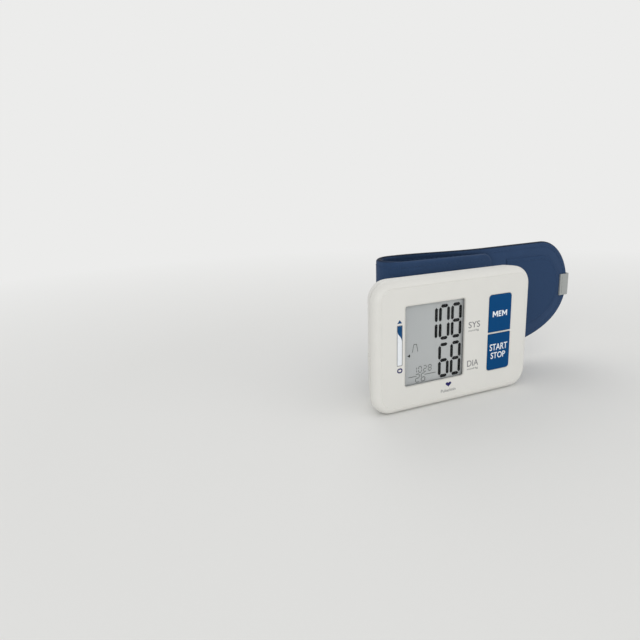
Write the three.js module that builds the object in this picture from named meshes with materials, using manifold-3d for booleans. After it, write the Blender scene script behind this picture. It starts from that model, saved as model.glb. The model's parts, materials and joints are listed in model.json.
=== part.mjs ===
// Wrist blood pressure monitor: a two-shell casing with a display, two keys, an air pump and two
// small cells, fixed to a fabric cuff that loops round the wrist and ends in a free flap.
// Millimetres. +X is right and +Y is back for someone who faces the display, and +Z is up.
// The origin is the middle of the flat base that the casing stands on.

import * as THREE from 'three';
import { mergeVertices } from 'three/addons/utils/BufferGeometryUtils.js';
import Module from 'manifold-3d';

const wasm = await Module();
wasm.setup();

// Fits
const seat = 0.3;            // gap between pieces that rest on each other
const keyClearance = 0.25;   // round each key in its opening
const doorClearance = 0.3;   // round the battery door
const cellClearance = 0.35;  // round each cell in its bay

// Fineness of round shapes
const leastSides = 8;        // sides of the thinnest round bar
const sidesPerRadius = 2;    // sides that each millimetre of radius adds
const cornerSteps = 7;       // steps round each corner of the casing
const edgeSteps = 5;         // steps over the casing's rounded edges
const coilSteps = 10;        // steps in each turn of the contact spring
const mergeDistance = 1e-4;  // corners closer than this are one corner

// Casing, as margins round the display and the keys on its face
const displaySide = 15.3;    // left edge to the window
const legendSpace = 14.2;    // window to the keys
const keySide = 12.2;        // keys to the right edge
const displayBase = 12.1;    // base to the window
const displayTop = 11.6;     // window to the top
const cornerRadius = 9;
const frontEdgeRadius = 3;
const rearEdgeRadius = 2;
const frontCoverDepth = 4.5; // to the parting line, where the casing is widest
const frontWall = 2;
const sideWall = 1.8;
const rearWall = 2;
const sideTaper = THREE.MathUtils.degToRad(28);
const topShoulder = 3.5;     // level stretch of the top behind the parting line
const topTaper = THREE.MathUtils.degToRad(12);
const innerCorner = 1;

// Display
const windowWidth = 32.8;
const windowHeight = 37.3;
const windowCorner = 1.2;
const lensRecess = 0.3;
const lensLip = 1.7;
const lensFlange = 0.5;
const pocketWall = 0.8;      // front wall where the display sits in it
const lcdMargin = 2;
const lcdThickness = 2.6;
const holderWall = 1.2;
const connectorHeight = 2.8;
const connectorWidth = 2.4;
const connectorInset = 1.5;

// Keys and their switches
const keyWidth = 13.5;
const keyColumnHeight = 37.3;
const keyDrop = 0.5;         // middle of the keys below the window's middle
const keyGap = 1;
const keyProud = 0.5;
const keyCorner = 1.5;
const keyInnerCorner = 0.3;
const keyFlange = 0.9;
const keyFlangeThickness = 0.8;
const keyTravel = 0.6;
const switchSize = 6;
const switchPlungerRadius = 1.7;
const switchDip = 0.8;

// Circuit board
const boardThickness = 1.6;
const boardEdgeGap = 3.2;
const boardSideGap = 5.5;
const boardCorner = 6;
const boardPostRadius = 1.8;
const boardPostDrop = 3;     // lower middle post below the keys
const boardScrewRadius = 0.75;
const boardScrewHead = 1.6;
const boardScrewHeadHeight = 0.9;
const boardScrewLength = 4.6;
const boardScrewInset = 2.6; // upper screw below the board's edge
const chipSize = 10;
const chipHeight = 1.3;
const chipRise = 3;          // chip above the foot of the keys
const buzzerRadius = 4.5;
const buzzerHeight = 3.2;
const buzzerGap = 2.4;       // least space above the pump
const buzzerInset = 2.25;    // below the board's edge
const buzzerShift = 10;      // right of the window's middle

// Cells and their bay
const cellDiameter = 10.5;
const cellLength = 44.5;
const cellNippleRadius = 1.9;
const cellNippleHeight = 1;
const cellDoorGap = 2.1;     // from the door's inner face, at the back of the bay
const bayBase = 7;
const bayWall = 1.2;
const bayFloor = 0.8;
const contactSpace = 4.6;
const contactThickness = 0.8;
const contactWidth = 5;
const contactBumpRadius = 2;
const springTurns = 2;
const springWireRadius = 0.4;
const springRadius = 3.4;
const springTipRadius = 2.4;
const doorThickness = 2;
const doorBlockShift = 1;    // contact block in front of the cells' middle

// Casing screws
const screwRadius = 1.05;
const screwHeadRadius = 2.5;
const screwHeadHeight = 1.8;
const screwBossRadius = 3;
const screwPillarRadius = 3.9;
const screwKeyGap = 0.8;     // between the right bosses and the keys
const screwHolderGap = 1.3;  // between the left boss and the display's holder
const screwBossDepth = 8;    // front face to the end of each boss
const screwSeatDepth = 11;
const screwTip = 1.2;
const leftScrewDrop = 15;    // below the top
const rightScrewDrop = 11;   // below the top
const rightScrewRise = 9;    // above the base
const slotWidth = 0.7;
const slotDepth = 0.7;

// Air pump
const motorRadius = 6.2;
const motorLength = 20;
const motorGap = 0.6;        // beside the left screw's pillar
const pumpHeadRadius = 6.4;
const pumpHeadLength = 15.7;
const pumpHeadWall = 1.2;
const pumpCavityDepth = 7.2;
const pumpBayGap = 1;
const shaftRadius = 0.75;
const shaftDepth = 7.5;
const eccentricRadius = 2.4;
const eccentricThrow = 1.2;
const eccentricLength = 3.4;
const diaphragmThickness = 1.6;
const nippleRadius = 1.2;
const nippleBore = 0.6;
const nippleLength = 4;
const tubeWall = 0.6;

// Air block, release valve and pressure sensor
const blockWidth = 10;
const blockHeight = 7;
const blockFront = 1;
const portRadius = 1;
const valveRadius = 4.8;
const valveLength = 16.5;
const valveBore = 1.6;
const valveBoreDepth = 10.5;
const valveTravel = 0.6;
const valveHeadRadius = 2.2;
const valveHeadHeight = 0.7;
const valveNozzleRadius = 1.5;
const valveNozzleLength = 1;
const sensorSize = 7;
const sensorHeight = 2.3;
const sensorNozzleDepth = 1; // into the air block

// Cuff
const panelThickness = 0.9;
const coreThickness = 0.8;
const bladderThickness = 1.2;
const strapThickness = 3;
const panelInset = 1.6;      // panel inside the casing's right edge
const panelBottom = 9;
const panelHeight = 55.8;
const panelCorner = 5;
const coreMargin = 4;
const bladderMargin = 6;
const bendX = -12.4;
const bendRadius = 9;
const bendTail = 3.1;
const strapDrop = 0.6;       // strap below the panel
const strapHeight = 58.6;
const loopRun = 22.4;        // reach of the loop's curve from the bend
const loopFall = 24.4;       // reach of the loop's curve back from the flap
const flapLead = 0.4;        // start of the flap beyond the casing's right edge
const flapLength = 59.6;
const flapShoulder = 22;     // round upper end, back from the tip
const flapTipRise = 32.6;    // tip above the strap's lower edge
const flapSweep = 24;        // reach of the lower sweep, back from the tip
const flapSweepRise = 1.1;   // rise of the sweep where it starts
const flapSweepTip = 11.6;   // rise of the sweep below the tip
const quarterRound = 0.5523; // control point that makes a curve close to a quarter circle
const hookStart = 11.6;      // hook patch after the flap's start
const hookGap = 0.5;
const hookThickness = 0.7;
const tabHeight = 12.4;
const tabReach = 7;
const tabThickness = 0.8;
const cuffNippleRadius = 2.2;
const cuffNippleBore = 1;
const lugWidth = 3;
const lugThickness = 1.4;
const lugLip = 0.7;
const lugReach = 1.3;
const lugPanelInset = 6;     // left lug inside the panel's edge
const lugNippleGap = 6;      // middle lug beside the air nipple
const lugPumpGap = 4.4;      // upper lugs above the pump
const lugValveLap = 0.8;     // right lug inside the valve's edge

// Depth of the casing, from the pieces stacked behind its front face
const pumpReach = Math.max(motorRadius, pumpHeadRadius);
const lensStack = seat + lensFlange;
const lcdStack = seat + lcdThickness + seat + connectorHeight;
const boardStack = seat + boardThickness;
const bayStack = seat + bayWall + cellClearance + cellDiameter + cellClearance + bayFloor;
const pumpStack = seat + 2 * pumpReach + seat;
const innerStack = Math.max(bayStack, pumpStack);
const bodyDepth = pocketWall + lensStack + lcdStack + boardStack + innerStack + rearWall;
const front = -bodyDepth / 2;
const back = bodyDepth / 2;
const parting = front + frontCoverDepth;
const rearFront = parting + seat;
const topStart = rearFront + topShoulder;
const frontInner = front + frontWall;
const rearInner = back - rearWall;
const pocketFront = front + pocketWall;
const lensBack = pocketFront + lensStack;
const lcdFront = lensBack + seat;
const lcdBack = lcdFront + lcdThickness;
const boardFront = lcdBack + seat + connectorHeight + seat;
const boardBack = boardFront + boardThickness;
const bayFront = boardBack + seat + bayWall;
const cellY = bayFront + cellClearance + cellDiameter / 2;
const bayBack = cellY + cellDiameter / 2 + cellClearance;
const sideLean = (y) => (y - rearFront) * Math.tan(sideTaper);

// Width and height of the casing, the larger of what its face and its inside need
const cellSide = sideLean(bayBack) + doorThickness + cellDoorGap;
const bayWidth = cellLength + contactSpace + bayWall;
const flankInside = (y) => sideLean(y) + sideWall + innerCorner + seat;
const hookReach = lugThickness / 2 + 2 * lugLip + seat;
const valveSide = Math.max(blockWidth / 2, valveRadius - lugValveLap + hookReach);
const insideWidth = cellSide + bayWidth + seat + valveRadius + valveSide + flankInside(rearInner);
const faceWidth = displaySide + windowWidth + legendSpace + keyWidth + keySide;
const bodyWidth = Math.max(faceWidth, insideWidth);
const bayTop = bayBase + 3 * cellClearance + 2 * cellDiameter;
const pumpZ = bayTop + bayWall + pumpBayGap + pumpReach;
const pumpTop = pumpZ + pumpReach;
const insideHeight = pumpTop + buzzerGap + 2 * buzzerRadius + buzzerInset + boardEdgeGap;
const faceHeight = displayBase + windowHeight + displayTop;
const bodyHeight = Math.max(faceHeight, insideHeight);
const leftEdge = -bodyWidth / 2;
const rightEdge = bodyWidth / 2;
const skinX = (y) => leftEdge + sideLean(y);

// Places on the face
const windowX = leftEdge + displaySide + windowWidth / 2;
const windowZ = displayBase + windowHeight / 2;
const lcdWidth = windowWidth + 2 * lcdMargin;
const lcdHeight = windowHeight + 2 * lcdMargin;
const holderWidth = lcdWidth + 2 * (seat + holderWall);
const holderHeight = lcdHeight + 2 * (seat + holderWall);
const holderLeft = windowX - holderWidth / 2;
const holderRight = windowX + holderWidth / 2;
const keyX = rightEdge - keySide - keyWidth / 2;
const keyZ = windowZ - keyDrop;
const keyHalf = (keyColumnHeight - keyGap) / 2;
const keyLow = keyZ - keyColumnHeight / 2;
const keyHigh = keyZ + keyColumnHeight / 2;
const keyFlangeHalf = keyWidth / 2 + keyFlange;
const keyBack = frontInner + seat + keyFlangeThickness;
const plungerFront = keyBack + seat;
const switchFront = plungerFront + switchDip;
const switchBack = boardFront - seat;
const plungerBack = switchBack - keyTravel - 2 * seat;
const keys = [
  { name: 'memory_key', switchName: 'memory_switch', z0: keyHigh - keyHalf, z1: keyHigh, upper: true },
  { name: 'start_stop_key', switchName: 'start_stop_switch', z0: keyLow, z1: keyLow + keyHalf, upper: false },
];

// Screws, and the posts that carry the board
const screwRight = keyX + keyFlangeHalf + screwKeyGap + screwBossRadius;
const screwLeft = holderLeft - screwHolderGap - screwBossRadius;
const caseScrews = [
  [screwLeft, bodyHeight - leftScrewDrop],
  [screwRight, bodyHeight - rightScrewDrop],
  [screwRight, rightScrewRise],
];
const screwBossBack = front + screwBossDepth;
const screwSeatY = front + screwSeatDepth;
const postX = (holderRight + keyX - keyFlangeHalf) / 2;
const boardHalf = bodyWidth / 2 - boardSideGap;
const boardLow = boardEdgeGap;
const boardHigh = bodyHeight - boardEdgeGap;
const boardScrews = [[postX, boardHigh - boardScrewInset], [screwRight, keyZ]];
const boardPosts = [
  [holderLeft - 2 * seat - boardPostRadius, keyLow],
  [postX, keyLow - boardPostDrop],
  ...boardScrews,
];

// Places behind the board, from the cells up to the pump
const lowerCellZ = bayBase + cellClearance + cellDiameter / 2;
const upperCellZ = lowerCellZ + cellDiameter + cellClearance;
const cellLeft = leftEdge + cellSide;
const cellRight = cellLeft + cellLength;
const bayRight = cellRight + contactSpace;
const pumpY = rearInner - seat - pumpReach;
const motorLeft = Math.max(screwLeft + screwPillarRadius + motorGap,
  leftEdge + flankInside(pumpY + motorRadius));
const motorRight = motorLeft + motorLength;
const pumpHeadLeft = motorRight + seat;
const pumpHeadRight = pumpHeadLeft + pumpHeadLength;
const cavityEnd = pumpHeadLeft + pumpCavityDepth;
const diaphragmRight = cavityEnd - seat;
const diaphragmLeft = diaphragmRight - diaphragmThickness;
const eccentricRight = diaphragmLeft - seat;
const valveX = bayRight + bayWall + seat + valveRadius;
const blockLeft = valveX - blockWidth / 2;
const blockBottom = pumpZ - blockHeight / 2;
const blockFrontY = boardBack + seat + sensorHeight + blockFront;
const blockBack = rearInner - seat;
const valveY = rearInner - seat - valveRadius;
const nozzleBottom = blockBottom - valveNozzleLength;
const valveHeadTop = nozzleBottom - seat - valveTravel;
const valveTop = valveHeadTop - valveHeadHeight - 2 * valveTravel;
const valveBottom = valveTop - valveLength;

// Layers of the cuff behind the casing, and the clip lugs that hold it
const panelFront = back + seat;
const coreFront = panelFront + panelThickness + seat;
const bladderFront = coreFront + coreThickness + seat;
const bladderBack = bladderFront + bladderThickness;
const liningFront = bladderBack + seat;
const liningBack = liningFront + panelThickness;
const panelLeft = bendX + bendTail + seat;
const panelRight = rightEdge - panelInset;
const panelTop = panelBottom + panelHeight;
const bendY = panelFront + bendRadius;
const bendInner = bendRadius - strapThickness;
const strapBottom = panelBottom - strapDrop;
const strapTop = strapBottom + strapHeight;
const flapStart = rightEdge + flapLead;
const flapTip = flapStart + flapLength;
const flapTipZ = strapBottom + flapTipRise;
const flapFront = liningBack + seat;
const flapBack = flapFront + strapThickness;
const hookInset = tabReach + hookGap;
const upperLugZ = pumpTop + lugPumpGap + lugWidth / 2;
const lugs = [
  [panelLeft + lugPanelInset, upperLugZ],
  [valveX - lugNippleGap, upperLugZ],
  [valveX + valveRadius - lugValveLap, (valveBottom + valveTop) / 2],
];

const root = new THREE.Group();

// Solid from a closed geometry, with shared corners merged and empty faces left out.
function solid(geometry) {
  const bare = geometry.clone();
  bare.deleteAttribute('normal');
  bare.deleteAttribute('uv');
  const merged = mergeVertices(bare, mergeDistance);
  const corners = merged.index.array;
  const faces = [];
  for (let i = 0; i < corners.length; i += 3) {
    const [a, b, c] = [corners[i], corners[i + 1], corners[i + 2]];
    if (a !== b && b !== c && c !== a) faces.push(a, b, c);
  }
  const vertProperties = Float32Array.from(merged.attributes.position.array);
  const triVerts = Uint32Array.from(faces);
  return new wasm.Manifold(new wasm.Mesh({ numProp: 3, vertProperties, triVerts }));
}

// Adds a finished solid to the model as a named mesh with its own material.
function piece(name, shape, { color, roughness, metalness = 0 }) {
  const { vertProperties, triVerts } = shape.getMesh();
  const geometry = new THREE.BufferGeometry();
  geometry.setAttribute('position', new THREE.BufferAttribute(Float32Array.from(vertProperties), 3));
  geometry.setIndex(Array.from(triVerts));
  geometry.computeVertexNormals();
  const mesh = new THREE.Mesh(geometry, new THREE.MeshStandardMaterial({ color, roughness, metalness }));
  mesh.name = name;
  root.add(mesh);
}

function block(x0, x1, y0, y1, z0, z1) {
  const geometry = new THREE.BoxGeometry(x1 - x0, y1 - y0, z1 - z0);
  geometry.translate((x0 + x1) / 2, (y0 + y1) / 2, (z0 + z1) / 2);
  return solid(geometry);
}

// Round bar along Y, of more sides the thicker it is.
function barGeometry(radius, length) {
  return new THREE.CylinderGeometry(radius, radius, length, leastSides + Math.round(sidesPerRadius * radius));
}

// Round bars along each axis, from one end to the other.
function barX(radius, x0, x1, y, z) {
  const geometry = barGeometry(radius, x1 - x0);
  geometry.rotateZ(Math.PI / 2);
  geometry.translate((x0 + x1) / 2, y, z);
  return solid(geometry);
}

function barY(radius, x, y0, y1, z) {
  const geometry = barGeometry(radius, y1 - y0);
  geometry.translate(x, (y0 + y1) / 2, z);
  return solid(geometry);
}

function barZ(radius, x, y, z0, z1) {
  const geometry = barGeometry(radius, z1 - z0);
  geometry.rotateX(Math.PI / 2);
  geometry.translate(x, y, (z0 + z1) / 2);
  return solid(geometry);
}

// Outline in X and Z, carried through the depth from y0 to y1.
function slab(outline, y0, y1, curveSegments = 3) {
  const depth = y1 - y0;
  const geometry = new THREE.ExtrudeGeometry(outline, { depth, bevelEnabled: false, curveSegments });
  geometry.rotateX(Math.PI / 2);
  geometry.translate(0, y1, 0);
  return solid(geometry);
}

// Outline in X and Y, carried up from z0 to z1.
function prism(outline, z0, z1, curveSegments = 12) {
  const depth = z1 - z0;
  const geometry = new THREE.ExtrudeGeometry(outline, { depth, bevelEnabled: false, curveSegments });
  geometry.translate(0, 0, z0);
  return solid(geometry);
}

// Rectangle with a corner radius below and another above.
function roundRect(x0, x1, z0, z1, low, high = low) {
  const shape = new THREE.Shape();
  shape.moveTo(x0 + low, z0);
  shape.lineTo(x1 - low, z0);
  shape.absarc(x1 - low, z0 + low, low, -Math.PI / 2, 0);
  shape.lineTo(x1, z1 - high);
  shape.absarc(x1 - high, z1 - high, high, 0, Math.PI / 2);
  shape.lineTo(x0 + high, z1);
  shape.absarc(x0 + high, z1 - high, high, Math.PI / 2, Math.PI);
  shape.lineTo(x0, z0 + low);
  shape.absarc(x0 + low, z0 + low, low, Math.PI, 1.5 * Math.PI);
  return shape;
}

// Rectangle about the window's middle.
function windowRect(width, height, radius) {
  const [halfX, halfZ] = [width / 2, height / 2];
  return roundRect(windowX - halfX, windowX + halfX, windowZ - halfZ, windowZ + halfZ, radius);
}

// One outline of the casing's skin at depth y, drawn in by inset: the sides taper behind the parting
// line, the top does so behind its level stretch, and the base stays level.
function casingRing(y, inset) {
  const halfWidth = bodyWidth / 2 - inset - Math.max(sideLean(y), 0);
  const low = inset;
  const high = bodyHeight - inset - Math.max(y - topStart, 0) * Math.tan(topTaper);
  const radius = cornerRadius - inset;
  const centres = [[1, 1], [-1, 1], [-1, -1], [1, -1]];
  return centres.flatMap(([right, up], quarter) => {
    const x = right * (halfWidth - radius);
    const z = up > 0 ? high - radius : low + radius;
    return Array.from({ length: cornerSteps + 1 }, (_, step) => {
      const angle = (quarter + step / cornerSteps) * Math.PI / 2;
      return [x + radius * Math.cos(angle), y, z + radius * Math.sin(angle)];
    });
  });
}

// Closed skin through a row of outlines with as many points each, capped flat at both ends.
function loft(rings) {
  const count = rings[0].length;
  const points = rings.flat();
  const faces = [];
  for (let i = 0; i + 1 < rings.length; i += 1) {
    for (let j = 0; j < count; j += 1) {
      const next = (j + 1) % count;
      const [a, b] = [i * count + j, i * count + next];
      faces.push(a, b, a + count, b, b + count, a + count);
    }
  }
  const last = (rings.length - 1) * count;
  for (let j = 1; j + 1 < count; j += 1) {
    faces.push(0, j + 1, j);
    faces.push(last, last + j, last + j + 1);
  }
  const volume = faces.reduce((sum, _, i) => {
    if (i % 3) return sum;
    const [a, b, c] = [0, 1, 2].map((k) => new THREE.Vector3(...points[faces[i + k]]));
    return sum + a.dot(b.cross(c));
  }, 0);
  if (volume < 0) faces.reverse();
  const geometry = new THREE.BufferGeometry();
  geometry.setAttribute('position', new THREE.Float32BufferAttribute(points.flat(), 3));
  geometry.setIndex(faces);
  return solid(geometry);
}

// Quarter-round steps of an edge, as depth along it and distance drawn in.
function edgeRound(radius) {
  return Array.from({ length: edgeSteps + 1 }, (_, step) => {
    const angle = step / edgeSteps * Math.PI / 2;
    return { along: radius * (1 - Math.cos(angle)), inset: radius * (1 - Math.sin(angle)) };
  });
}

const frontSkin = [
  ...edgeRound(frontEdgeRadius).map(({ along, inset }) => casingRing(front + along, inset)),
  casingRing(parting, 0),
];
const rearSkin = [
  ...edgeRound(rearEdgeRadius).map(({ along, inset }) => casingRing(back - along, inset)),
  casingRing(topStart, 0),
  casingRing(rearFront, 0),
];
const frontHollow = [
  casingRing(parting, sideWall),
  casingRing(frontInner + innerCorner, sideWall),
  casingRing(frontInner, sideWall + innerCorner),
];
const rearHollow = [
  casingRing(rearFront, sideWall),
  casingRing(topStart, sideWall),
  casingRing(rearInner - innerCorner, sideWall),
  casingRing(rearInner, sideWall + innerCorner),
];
const rearBulk = loft(rearSkin);

// Casing

function frontCover() {
  const rootY = frontInner - frontWall / 2;
  const pocket = windowRect(holderWidth + 2 * seat, holderHeight + 2 * seat, holderWall + seat);
  let shell = loft([...frontSkin, ...frontHollow]).subtract(slab(pocket, pocketFront, frontInner + seat));
  for (const [x, z] of caseScrews) {
    shell = shell.add(barY(screwBossRadius, x, rootY, screwBossBack, z));
    shell = shell.subtract(barY(screwRadius + seat, x, frontInner + screwTip / 2, screwBossBack + seat, z));
  }
  for (const [x, z] of boardPosts) {
    shell = shell.add(barY(boardPostRadius, x, rootY, boardFront - seat, z));
  }
  for (const [x, z] of boardScrews) {
    shell = shell.subtract(barY(boardScrewRadius + seat, x, frontInner, boardFront, z));
  }
  const opening = windowRect(windowWidth, windowHeight, windowCorner);
  shell = shell.subtract(slab(opening, front - seat, frontInner + seat));
  for (const which of keys) {
    shell = shell.subtract(slab(keyOutline(which, keyClearance), front - seat, frontInner + seat));
  }
  return shell;
}

// A key's outline, wider by grow: its outer corners are round, and those at the split are tight.
function keyOutline({ z0, z1, upper }, grow) {
  const [low, high] = upper ? [keyInnerCorner, keyCorner] : [keyCorner, keyInnerCorner];
  const half = keyWidth / 2 + grow;
  return roundRect(keyX - half, keyX + half, z0 - grow, z1 + grow, low + grow, high + grow);
}

function rearCover() {
  const intoWall = rearInner + rearWall / 2;
  const beyond = leftEdge - seat;
  const bayShell = block(beyond, bayRight + bayWall, bayFront - bayWall, intoWall,
    bayBase - bayWall, bayTop + bayWall);
  let shell = loft([...rearSkin, ...rearHollow]).add(bayShell.intersect(rearBulk));
  for (const [x, z] of caseScrews) {
    const pillar = barY(screwPillarRadius, x, screwBossBack + seat, intoWall, z);
    shell = shell.add(pillar.intersect(rearBulk));
    shell = shell.subtract(barY(screwHeadRadius + seat, x, screwSeatY, back + seat, z));
    shell = shell.subtract(barY(screwRadius + seat, x, screwBossBack, screwSeatY + seat, z));
  }
  shell = shell.subtract(block(beyond, bayRight, bayFront, bayBack, bayBase, bayTop));
  shell = shell.subtract(barY(cuffNippleRadius + seat, valveX, rearInner - seat, back + seat, pumpZ));
  for (const lug of lugs) {
    shell = shell.subtract(lugHole(lug, rearInner - seat, back + seat));
  }
  return shell;
}

// Opening that a clip lug and its hook pass through.
function lugHole([x, z], y0, y1) {
  const halfX = lugThickness / 2 + seat;
  const halfZ = lugWidth / 2 + seat;
  return block(x - halfX, x + halfX + lugLip, y0, y1, z - halfZ, z + halfZ);
}

function screw(x, z, headY, tipY, { radius, headRadius, headHeight }) {
  const top = headY + headHeight;
  const head = barY(headRadius, x, headY, top, z);
  const shank = barY(radius, x, tipY, headY + headHeight / 2, z);
  const slot = block(x - slotWidth / 2, x + slotWidth / 2, top - slotDepth, top + seat,
    z - headRadius - seat, z + headRadius + seat);
  return head.add(shank).subtract(slot);
}

function caseScrew([x, z]) {
  const size = { radius: screwRadius, headRadius: screwHeadRadius, headHeight: screwHeadHeight };
  return screw(x, z, screwSeatY + seat, frontInner + screwTip, size);
}

function boardScrew([x, z]) {
  const size = { radius: boardScrewRadius, headRadius: boardScrewHead, headHeight: boardScrewHeadHeight };
  const headY = boardBack + seat;
  return screw(x, z, headY, headY - boardScrewLength, size);
}

// Display

function displayLens() {
  const plug = windowRect(windowWidth - 2 * seat, windowHeight - 2 * seat, windowCorner - seat);
  const flange = windowRect(windowWidth + 2 * lensLip, windowHeight + 2 * lensLip, windowCorner);
  const face = slab(plug, front + lensRecess, lensBack - lensFlange / 2);
  return face.add(slab(flange, lensBack - lensFlange, lensBack));
}

function lcdPanel() {
  return slab(windowRect(lcdWidth, lcdHeight, seat), lcdFront, lcdBack);
}

function lcdHolder() {
  const outer = windowRect(holderWidth, holderHeight, holderWall);
  outer.holes.push(windowRect(lcdWidth + 2 * seat, lcdHeight + 2 * seat, seat));
  return slab(outer, lcdFront, boardFront - seat);
}

function lcdConnector() {
  const half = windowWidth / 2 - connectorInset;
  const low = windowZ - windowHeight / 2;
  return block(windowX - half, windowX + half, lcdBack + seat, boardFront - seat, low, low + connectorWidth);
}

// Keys and switches

function key(which) {
  const cap = slab(keyOutline(which, 0), front - keyProud, keyBack - keyFlangeThickness / 2);
  const low = which.upper ? which.z0 : which.z0 - keyFlange;
  const high = which.upper ? which.z1 + keyFlange : which.z1;
  return cap.add(block(keyX - keyFlangeHalf, keyX + keyFlangeHalf, frontInner + seat, keyBack, low, high));
}

function switchCase(z) {
  const half = switchSize / 2;
  const shell = block(keyX - half, keyX + half, switchFront, switchBack, z - half, z + half);
  return shell.subtract(barY(switchPlungerRadius + seat, keyX, switchFront - seat, switchBack - seat, z));
}

function switchPlunger(z) {
  return barY(switchPlungerRadius, keyX, plungerFront, plungerBack, z);
}

// Circuit board

function circuitBoard() {
  const [y0, y1] = [boardFront - seat, boardBack + seat];
  const notch = screwPillarRadius + seat;
  let board = slab(roundRect(-boardHalf, boardHalf, boardLow, boardHigh, boardCorner), boardFront, boardBack);
  for (const [x, z] of caseScrews) {
    const edge = Math.sign(x) * bodyWidth / 2;
    board = board.subtract(barY(notch, x, y0, y1, z));
    board = board.subtract(block(Math.min(x, edge), Math.max(x, edge), y0, y1, z - notch, z + notch));
  }
  for (const [x, z] of boardScrews) {
    board = board.subtract(barY(boardScrewRadius + seat, x, y0, y1, z));
  }
  return board;
}

function processorChip() {
  const left = bayRight + bayWall + seat;
  const low = keyLow + chipRise;
  const y0 = boardBack + seat;
  return block(left, left + chipSize, y0, y0 + chipHeight, low, low + chipSize);
}

function buzzer() {
  const y0 = boardBack + seat;
  const z = boardHigh - buzzerInset - buzzerRadius;
  return barY(buzzerRadius, windowX + buzzerShift, y0, y0 + buzzerHeight, z);
}

// Battery bay

// A round cell with its raised end to the right, or to the left if turned.
function cell(z, turned) {
  const radius = cellDiameter / 2;
  const bodyEnd = cellLength - cellNippleHeight;
  const profile = [
    new THREE.Vector2(0, 0),
    new THREE.Vector2(radius, 0),
    new THREE.Vector2(radius, bodyEnd),
    new THREE.Vector2(cellNippleRadius, bodyEnd),
    new THREE.Vector2(cellNippleRadius, cellLength),
    new THREE.Vector2(0, cellLength),
  ];
  const geometry = new THREE.LatheGeometry(profile, leastSides + Math.round(sidesPerRadius * radius));
  geometry.rotateZ(turned ? Math.PI / 2 : -Math.PI / 2);
  geometry.translate(turned ? cellRight : cellLeft, cellY, z);
  return solid(geometry);
}

// Coil that tapers from the bay's end wall to the cell, as one round wire along a helix.
class ContactCoil extends THREE.Curve {
  getPoint(t) {
    const angle = t * springTurns * 2 * Math.PI;
    const radius = THREE.MathUtils.lerp(springRadius, springTipRadius, t);
    const margin = seat + springWireRadius;
    const x = THREE.MathUtils.lerp(bayRight - margin, cellRight + margin, t);
    return new THREE.Vector3(x, cellY + radius * Math.cos(angle), lowerCellZ + radius * Math.sin(angle));
  }
}

function batterySpring() {
  const wire = new THREE.Shape();
  wire.absarc(0, 0, springWireRadius, 0, 2 * Math.PI);
  const steps = springTurns * coilSteps;
  return solid(new THREE.ExtrudeGeometry(wire, { steps, extrudePath: new ContactCoil(), curveSegments: 3 }));
}

function batteryContact() {
  const half = contactWidth / 2;
  const end = bayRight - seat;
  const bump = barX(contactBumpRadius, cellRight + seat, end, cellY, upperCellZ);
  return bump.add(block(end - contactThickness, end, cellY - half, cellY + half,
    upperCellZ - half, upperCellZ + half));
}

const doorBlock = {
  x1: cellLeft - 2 * seat - contactThickness,
  y0: cellY - contactWidth / 2 - doorBlockShift,
  y1: cellY + contactWidth / 2 - doorBlockShift,
  z0: lowerCellZ - contactWidth / 2,
  z1: upperCellZ + contactWidth / 2,
};

// Door in the left flank. Its rear end is cut square to the flank, so that it clears the wall beside
// it as the door swings out.
function batteryDoor() {
  const [y0, y1] = [bayFront + doorClearance, bayBack - doorClearance];
  const innerEnd = y1 - doorThickness * Math.cos(sideTaper) * Math.sin(sideTaper);
  const plan = new THREE.Shape([
    new THREE.Vector2(skinX(y0), y0),
    new THREE.Vector2(skinX(y0) + doorThickness, y0),
    new THREE.Vector2(skinX(innerEnd) + doorThickness, innerEnd),
    new THREE.Vector2(skinX(y1), y1),
  ]);
  const panel = prism(plan, bayBase + doorClearance, bayTop - doorClearance).intersect(rearBulk);
  const stem = new THREE.Shape([
    new THREE.Vector2(skinX(doorBlock.y0) + doorThickness / 2, doorBlock.y0),
    new THREE.Vector2(doorBlock.x1, doorBlock.y0),
    new THREE.Vector2(doorBlock.x1, doorBlock.y1),
    new THREE.Vector2(skinX(doorBlock.y1) + doorThickness / 2, doorBlock.y1),
  ]);
  return panel.add(prism(stem, doorBlock.z0, doorBlock.z1));
}

function doorContact() {
  const { x1, y0, y1, z0, z1 } = doorBlock;
  return block(x1 + seat, x1 + seat + contactThickness, y0, y1, z0, z1);
}

// Air pump, valve and sensor

function pumpMotor() {
  const can = barX(motorRadius, motorLeft, motorRight, pumpY, pumpZ);
  const boreLeft = motorRight - shaftDepth - seat;
  return can.subtract(barX(shaftRadius + seat, boreLeft, motorRight + seat, pumpY, pumpZ));
}

function motorShaft() {
  const shaft = barX(shaftRadius, motorRight - shaftDepth, eccentricRight, pumpY, pumpZ);
  const eccentricLeft = eccentricRight - eccentricLength;
  return shaft.add(barX(eccentricRadius, eccentricLeft, eccentricRight, pumpY, pumpZ + eccentricThrow));
}

function pumpHead() {
  const end = pumpHeadRight + nippleLength;
  const bowl = barX(pumpHeadRadius, pumpHeadLeft, pumpHeadRight, pumpY, pumpZ);
  const nipple = barX(nippleRadius, pumpHeadRight - seat, end, pumpY, pumpZ);
  const cavity = barX(pumpHeadRadius - pumpHeadWall, pumpHeadLeft - seat, cavityEnd, pumpY, pumpZ);
  const flow = barX(nippleBore, cavityEnd - seat, end + seat, pumpY, pumpZ);
  return bowl.add(nipple).subtract(cavity).subtract(flow);
}

function pumpDiaphragm() {
  return barX(pumpHeadRadius - pumpHeadWall - seat, diaphragmLeft, diaphragmRight, pumpY, pumpZ);
}

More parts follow.
